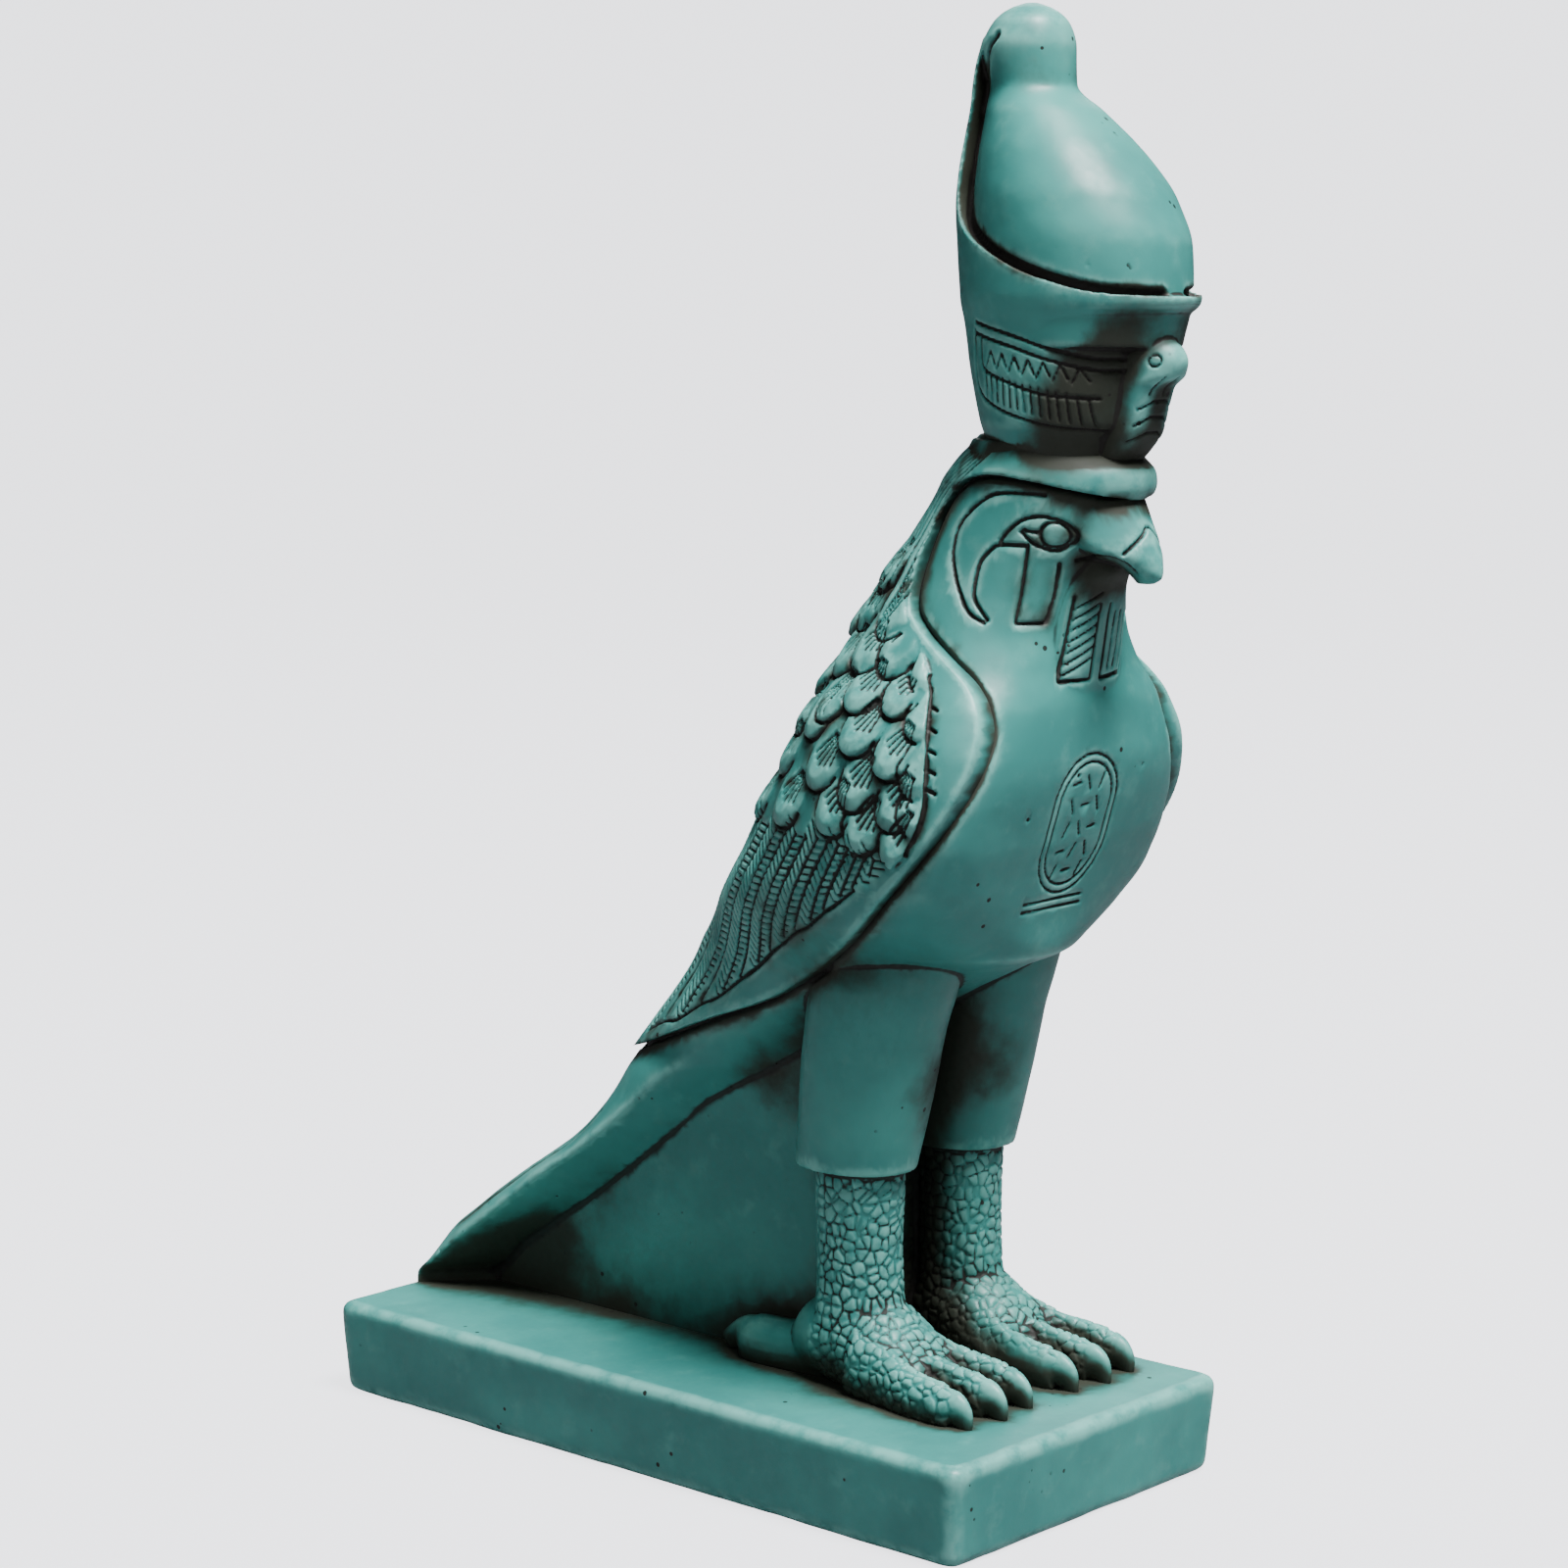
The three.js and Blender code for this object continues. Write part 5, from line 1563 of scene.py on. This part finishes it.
class PatinaAndShade:
    """Reads each piece's grooves, edges and hollows from its shape and keeps them on it, and how closed
    in each piece is, for painted shade and brown wash.
    """

    RAYS = 44
    REACH = 30.0
    NEAR = 7.0
    # One vertex in so many is measured, and the values are softened in so many rounds
    STEP = 3
    QUICK_STEP = 6
    ROUNDS = 4
    # Where the wash pooled, and where brown painted shade darkens a place: across, along, height, reach
    # and strength, on both sides alike
    WASH_AND_SHADE_SPOTS = (
        (10.0, -61.5, 141.5, 9.0, 0.50), (8.0, -63.0, 147.0, 6.5, 0.34),
        (12.0, -55.0, 143.0, 8.0, 0.14), (6.0, -66.0, 152.5, 8.0, 0.34),
        (9.0, -56.0, 135.6, 7.0, 0.40), (2.0, -62.0, 136.0, 7.0, 0.34),
        (6.4, -60.4, 127.0, 5.5, 0.26), (2.6, -60.4, 118.0, 6.0, 0.46),
        (0.0, -67.5, 143.2, 4.0, 0.46), (0.0, -66.0, 139.0, 4.0, 0.40),
        (9.3, 12.0, 29.0, 8.0, 0.24), (9.3, 26.0, 18.0, 8.0, 0.26),
        (9.3, 38.0, 9.0, 8.0, 0.34), (9.3, -6.0, 42.0, 11.0, 0.26),
        (4.0, -32.0, 46.0, 14.0, 0.34), (4.5, -46.0, 186.0, 6.0, 0.18),
        (12.0, 44.0, 6.0, 8.0, 0.30), (12.0, -26.0, 2.0, 9.0, 0.16),
        (12.0, 58.0, 2.0, 8.0, 0.26),
    )
    # Where painted shade darkens the body's teal, in the same way
    PAINTED_SHADE_SPOTS = (
        (17.0, -28.0, 62.0, 16.0, 0.15), (22.0, -36.0, 72.0, 20.0, 0.15),
        (14.0, -42.0, 66.0, 16.0, 0.14), (26.0, -44.0, 84.0, 12.0, 0.14),
        (14.0, 30.0, 32.0, 16.0, 0.12), (12.0, -54.0, 146.0, 10.0, 0.14),
        (13.0, -52.0, 120.0, 10.0, 0.10), (24.0, -20.0, 66.0, 14.0, 0.12),
    )

    def __init__(self, pieces: list[bpy.types.Object]) -> None:
        """Makes one ray target of all pieces.

        Args:
            pieces: The finished pieces, in the figure's millimetres.
        """
        points, faces = gathered(pieces)
        self.target = BVHTree.FromPolygons([Vector(p) for p in points], faces)
        golden = math.pi * (3 - math.sqrt(5))
        self.dome = []
        for n in range(self.RAYS):
            z = math.sqrt(1 - (n + 0.5) / self.RAYS)
            r = math.sqrt(1 - z * z)
            self.dome.append(Vector((r * math.cos(golden * n), r * math.sin(golden * n), z)))

    @staticmethod
    def read_curvature(mesh: bpy.types.Mesh) -> None:
        """Keeps a groove and an edge value on an evenly meshed piece, from how it bends.

        The skin is set against a softened one, first a little and then a lot. How far it lies
        in or out, in millimetres, says how much of a groove or an edge it is.
        """
        points, out = coordinates(mesh), normals(mesh)
        pairs = edge_pairs(mesh)
        size = np.linalg.norm(points[pairs[:, 0]] - points[pairs[:, 1]], axis=1).mean()
        rounds = max(2, round(6 * (0.3 / size) ** 2))
        soft = points.copy()
        for _ in range(rounds):
            soft = neighbour_mean(soft, pairs)
        near = np.einsum("ij,ij->i", soft - points, out)
        for _ in range(4 * rounds):
            soft = neighbour_mean(soft, pairs)
        wide = np.einsum("ij,ij->i", soft - points, out)
        groove = (np.clip((near - 0.015) / 0.14, 0, 1) * 0.7
                  + np.clip((wide - 0.04) / 0.36, 0, 1) * 0.45)
        groove = np.maximum(groove, stored(mesh, "wash") * 0.95)
        groove = 0.6 * groove + 0.4 * neighbour_mean(groove, pairs)
        edge = np.clip(-near / 0.14, 0, 1) * 0.6 + np.clip(-wide / 0.45, 0, 1) * 0.5
        store(mesh, "groove", np.clip(groove, 0, 1))
        store(mesh, "edge", np.clip(edge, 0, 1))

    def mark(self, piece: bpy.types.Object) -> None:
        """Keeps on a piece how closed in it is, close by and further off, for painted shade and brown
        wash.

        Some vertices are measured, and the rest take the nearest ones' values.
        """
        mesh = piece.data
        points, out = coordinates(mesh), normals(mesh)
        pairs = edge_pairs(mesh)
        chosen = np.arange(0, len(points), self.STEP)
        tree = KDTree(len(chosen))
        shade = np.empty((len(chosen), 2))
        for k, i in enumerate(chosen):
            tree.insert(points[i], k)
            shade[k] = self._shade(Vector(points[i]), Vector(out[i]))
        tree.balance()
        found = np.array([[k for _, k, _ in tree.find_n(p, 5)] for p in points])
        closed_in = shade[found].mean(axis=1)
        # Brown wash and painted shade at the listed spots, on top of what the rays found
        for spots, weights in ((self.WASH_AND_SHADE_SPOTS, (1.0, 0.7)), (self.PAINTED_SHADE_SPOTS, (0.0, 1.0))):
            for across, along, height, reach, strength in spots:
                off = points - (0.0, along, height)
                off[:, 0] = np.abs(points[:, 0]) - across
                spot = strength * np.clip(1 - np.linalg.norm(off, axis=1) / reach, 0, 1)
                closed_in += spot[:, None] * np.array(weights)
        for _ in range(self.ROUNDS):
            closed_in = neighbour_mean(closed_in, pairs)
        # crevice leads to brown wash and painted shade, hollow mostly to painted shade
        store(mesh, "crevice", np.clip(closed_in[:, 0], 0, 1))
        store(mesh, "hollow", np.clip(closed_in[:, 1], 0, 1))

    def _shade(self, place: Vector, out: Vector) -> tuple[float, float]:
        """How closed in a point is close by and further off, 0 in the open and 1 in a slot."""
        turn = out.to_track_quat("Z", "Y")
        start = place + out * 0.35
        near = far = 0.0
        for ray in self.dome:
            hit = self.target.ray_cast(start, turn @ ray, self.REACH)
            if hit[0] is not None:
                far += 1 - hit[3] / self.REACH
                near += max(0.0, 1 - hit[3] / self.NEAR)
        return near / self.RAYS, far / self.RAYS


# Camera, ground and light


@dataclass(frozen=True)
class Studio:
    """The photograph's viewpoint, a pale sweep and soft light."""

    focal_pixels: float = 3801.0
    frame_pixels: float = 1600.0
    azimuth: float = -48.662
    elevation: float = 7.828
    roll: float = 0.495
    place: tuple[float, float, float] = (-0.409576, -0.363182, 0.173999)
    sensor: float = 36.0
    ground_sides: int = 96
    surround: tuple[float, ...] = (0.86, 0.88, 0.93, 1.0)
    surround_strength: float = 0.11

    # Radius and height of the ground, from under the statue to the top of the sweep
    SWEEP = [
        (0.001, 0.0), (0.6, 0.0), (1.6, 0.0), (2.4, 0.12), (3.0, 0.6), (3.3, 1.6), (3.4, 4.0),
    ]
    # Name, place, size and power of each light
    LIGHTS = (
        ("key", (-0.08, -0.50, 1.30), 0.5, 50.0),
        ("side", (-1.1, -0.5, 0.7), 0.8, 2.4),
        ("rim", (0.8, 0.5, 0.7), 0.5, 2.0),
    )

    def camera(self) -> bpy.types.Object:
        """Sets up the camera at the photograph's angle."""
        a, e, r = (math.radians(v) for v in (self.azimuth, self.elevation, self.roll))
        back = Vector((math.sin(a) * math.cos(e), -math.cos(a) * math.cos(e), math.sin(e)))
        right = (-back).cross(Vector((0, 0, 1))).normalized()
        up = right.cross(-back)
        right, up = (
            right * math.cos(r) + up * math.sin(r), up * math.cos(r) - right * math.sin(r))
        data = bpy.data.cameras.new("camera")
        data.sensor_width = self.sensor
        data.lens = self.sensor * self.focal_pixels / self.frame_pixels
        data.clip_start = 0.01
        data.clip_end = 20.0
        camera = bpy.data.objects.new("camera", data)
        turn = Matrix((right, up, back)).transposed().to_4x4()
        camera.matrix_world = Matrix.Translation(self.place) @ turn
        bpy.context.scene.collection.objects.link(camera)
        bpy.context.scene.camera = camera
        return camera

    def ground(self, finish: bpy.types.Material) -> bpy.types.Object:
        """A round pale floor that sweeps up all round, far off."""
        n = self.ground_sides
        turn = np.arange(n) * 2 * math.pi / n
        rings = [
            np.stack([radius * np.cos(turn), radius * np.sin(turn), np.full(n, max(height, 0.0))],
                     axis=1)
            for radius, height in rounded(self.SWEEP, 6)]
        points = np.concatenate(rings)
        faces: list[tuple[int, ...]] = []
        for low in range(0, n * (len(rings) - 1), n):
            for i in range(n):
                j = (i + 1) % n
                faces.append((low + i, low + j, low + n + j, low + n + i))
        faces.append(tuple(reversed(range(n))))
        obj = new_object("ground", points, faces)
        obj.data.flip_normals()
        obj.data.shade_smooth()
        obj.data.materials.append(finish)
        return obj

    def lights(self) -> None:
        """A soft key from above and before the statue, a weak rim, and a dim pale surround."""
        aim = Vector((0.0, 0.0, 0.1))
        for name, place, size, power in self.LIGHTS:
            data = bpy.data.lights.new(name, "AREA")
            data.shape = "DISK"
            data.size = size
            data.energy = power
            light = bpy.data.objects.new(name, data)
            light.location = place
            light.rotation_euler = (Vector(place) - aim).to_track_quat("Z", "Y").to_euler()
            bpy.context.scene.collection.objects.link(light)
        world = bpy.data.worlds.new("surround")
        world.use_nodes = True
        background = world.node_tree.nodes["Background"]
        background.inputs["Color"].default_value = self.surround
        background.inputs["Strength"].default_value = self.surround_strength
        bpy.context.scene.world = world


def place_in_row(piece: bpy.types.Object) -> None:
    """Puts a finished piece in the row frame, in metres, under the root body, and hides the part that
    it stands in for.
    """
    set_coordinates(piece.data, (coordinates(piece.data) + FIGURE_PLACE) * METRE)
    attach(piece, "root")
    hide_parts(NODE)


def main() -> None:
    """Builds the statue piece by piece, then its finish, the camera, the ground and the light."""
    logging.basicConfig(level=logging.INFO, format="%(name)s %(message)s")
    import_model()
    studio = Studio()
    studio.camera()
    finish = Composite().material(AntiqueWashAndShade().group(), CastGrain().group())
    shop = Workshop(Trees(), finish)
    for assembly in (Plinth(), LegsAndBody(), Cloak(), DoubleCrown()):
        assembly.make(shop)
    # How closed in each piece is, read by rays, for painted shade and brown wash
    patina_and_shade = PatinaAndShade(shop.pieces)
    for piece in shop.pieces:
        patina_and_shade.mark(piece)
        LOG.info("%s: patina", piece.name)
    for piece in shop.pieces:
        place_in_row(piece)
    studio.ground(PaleCloth().material())
    studio.lights()


if __name__ == "__main__":
    main()
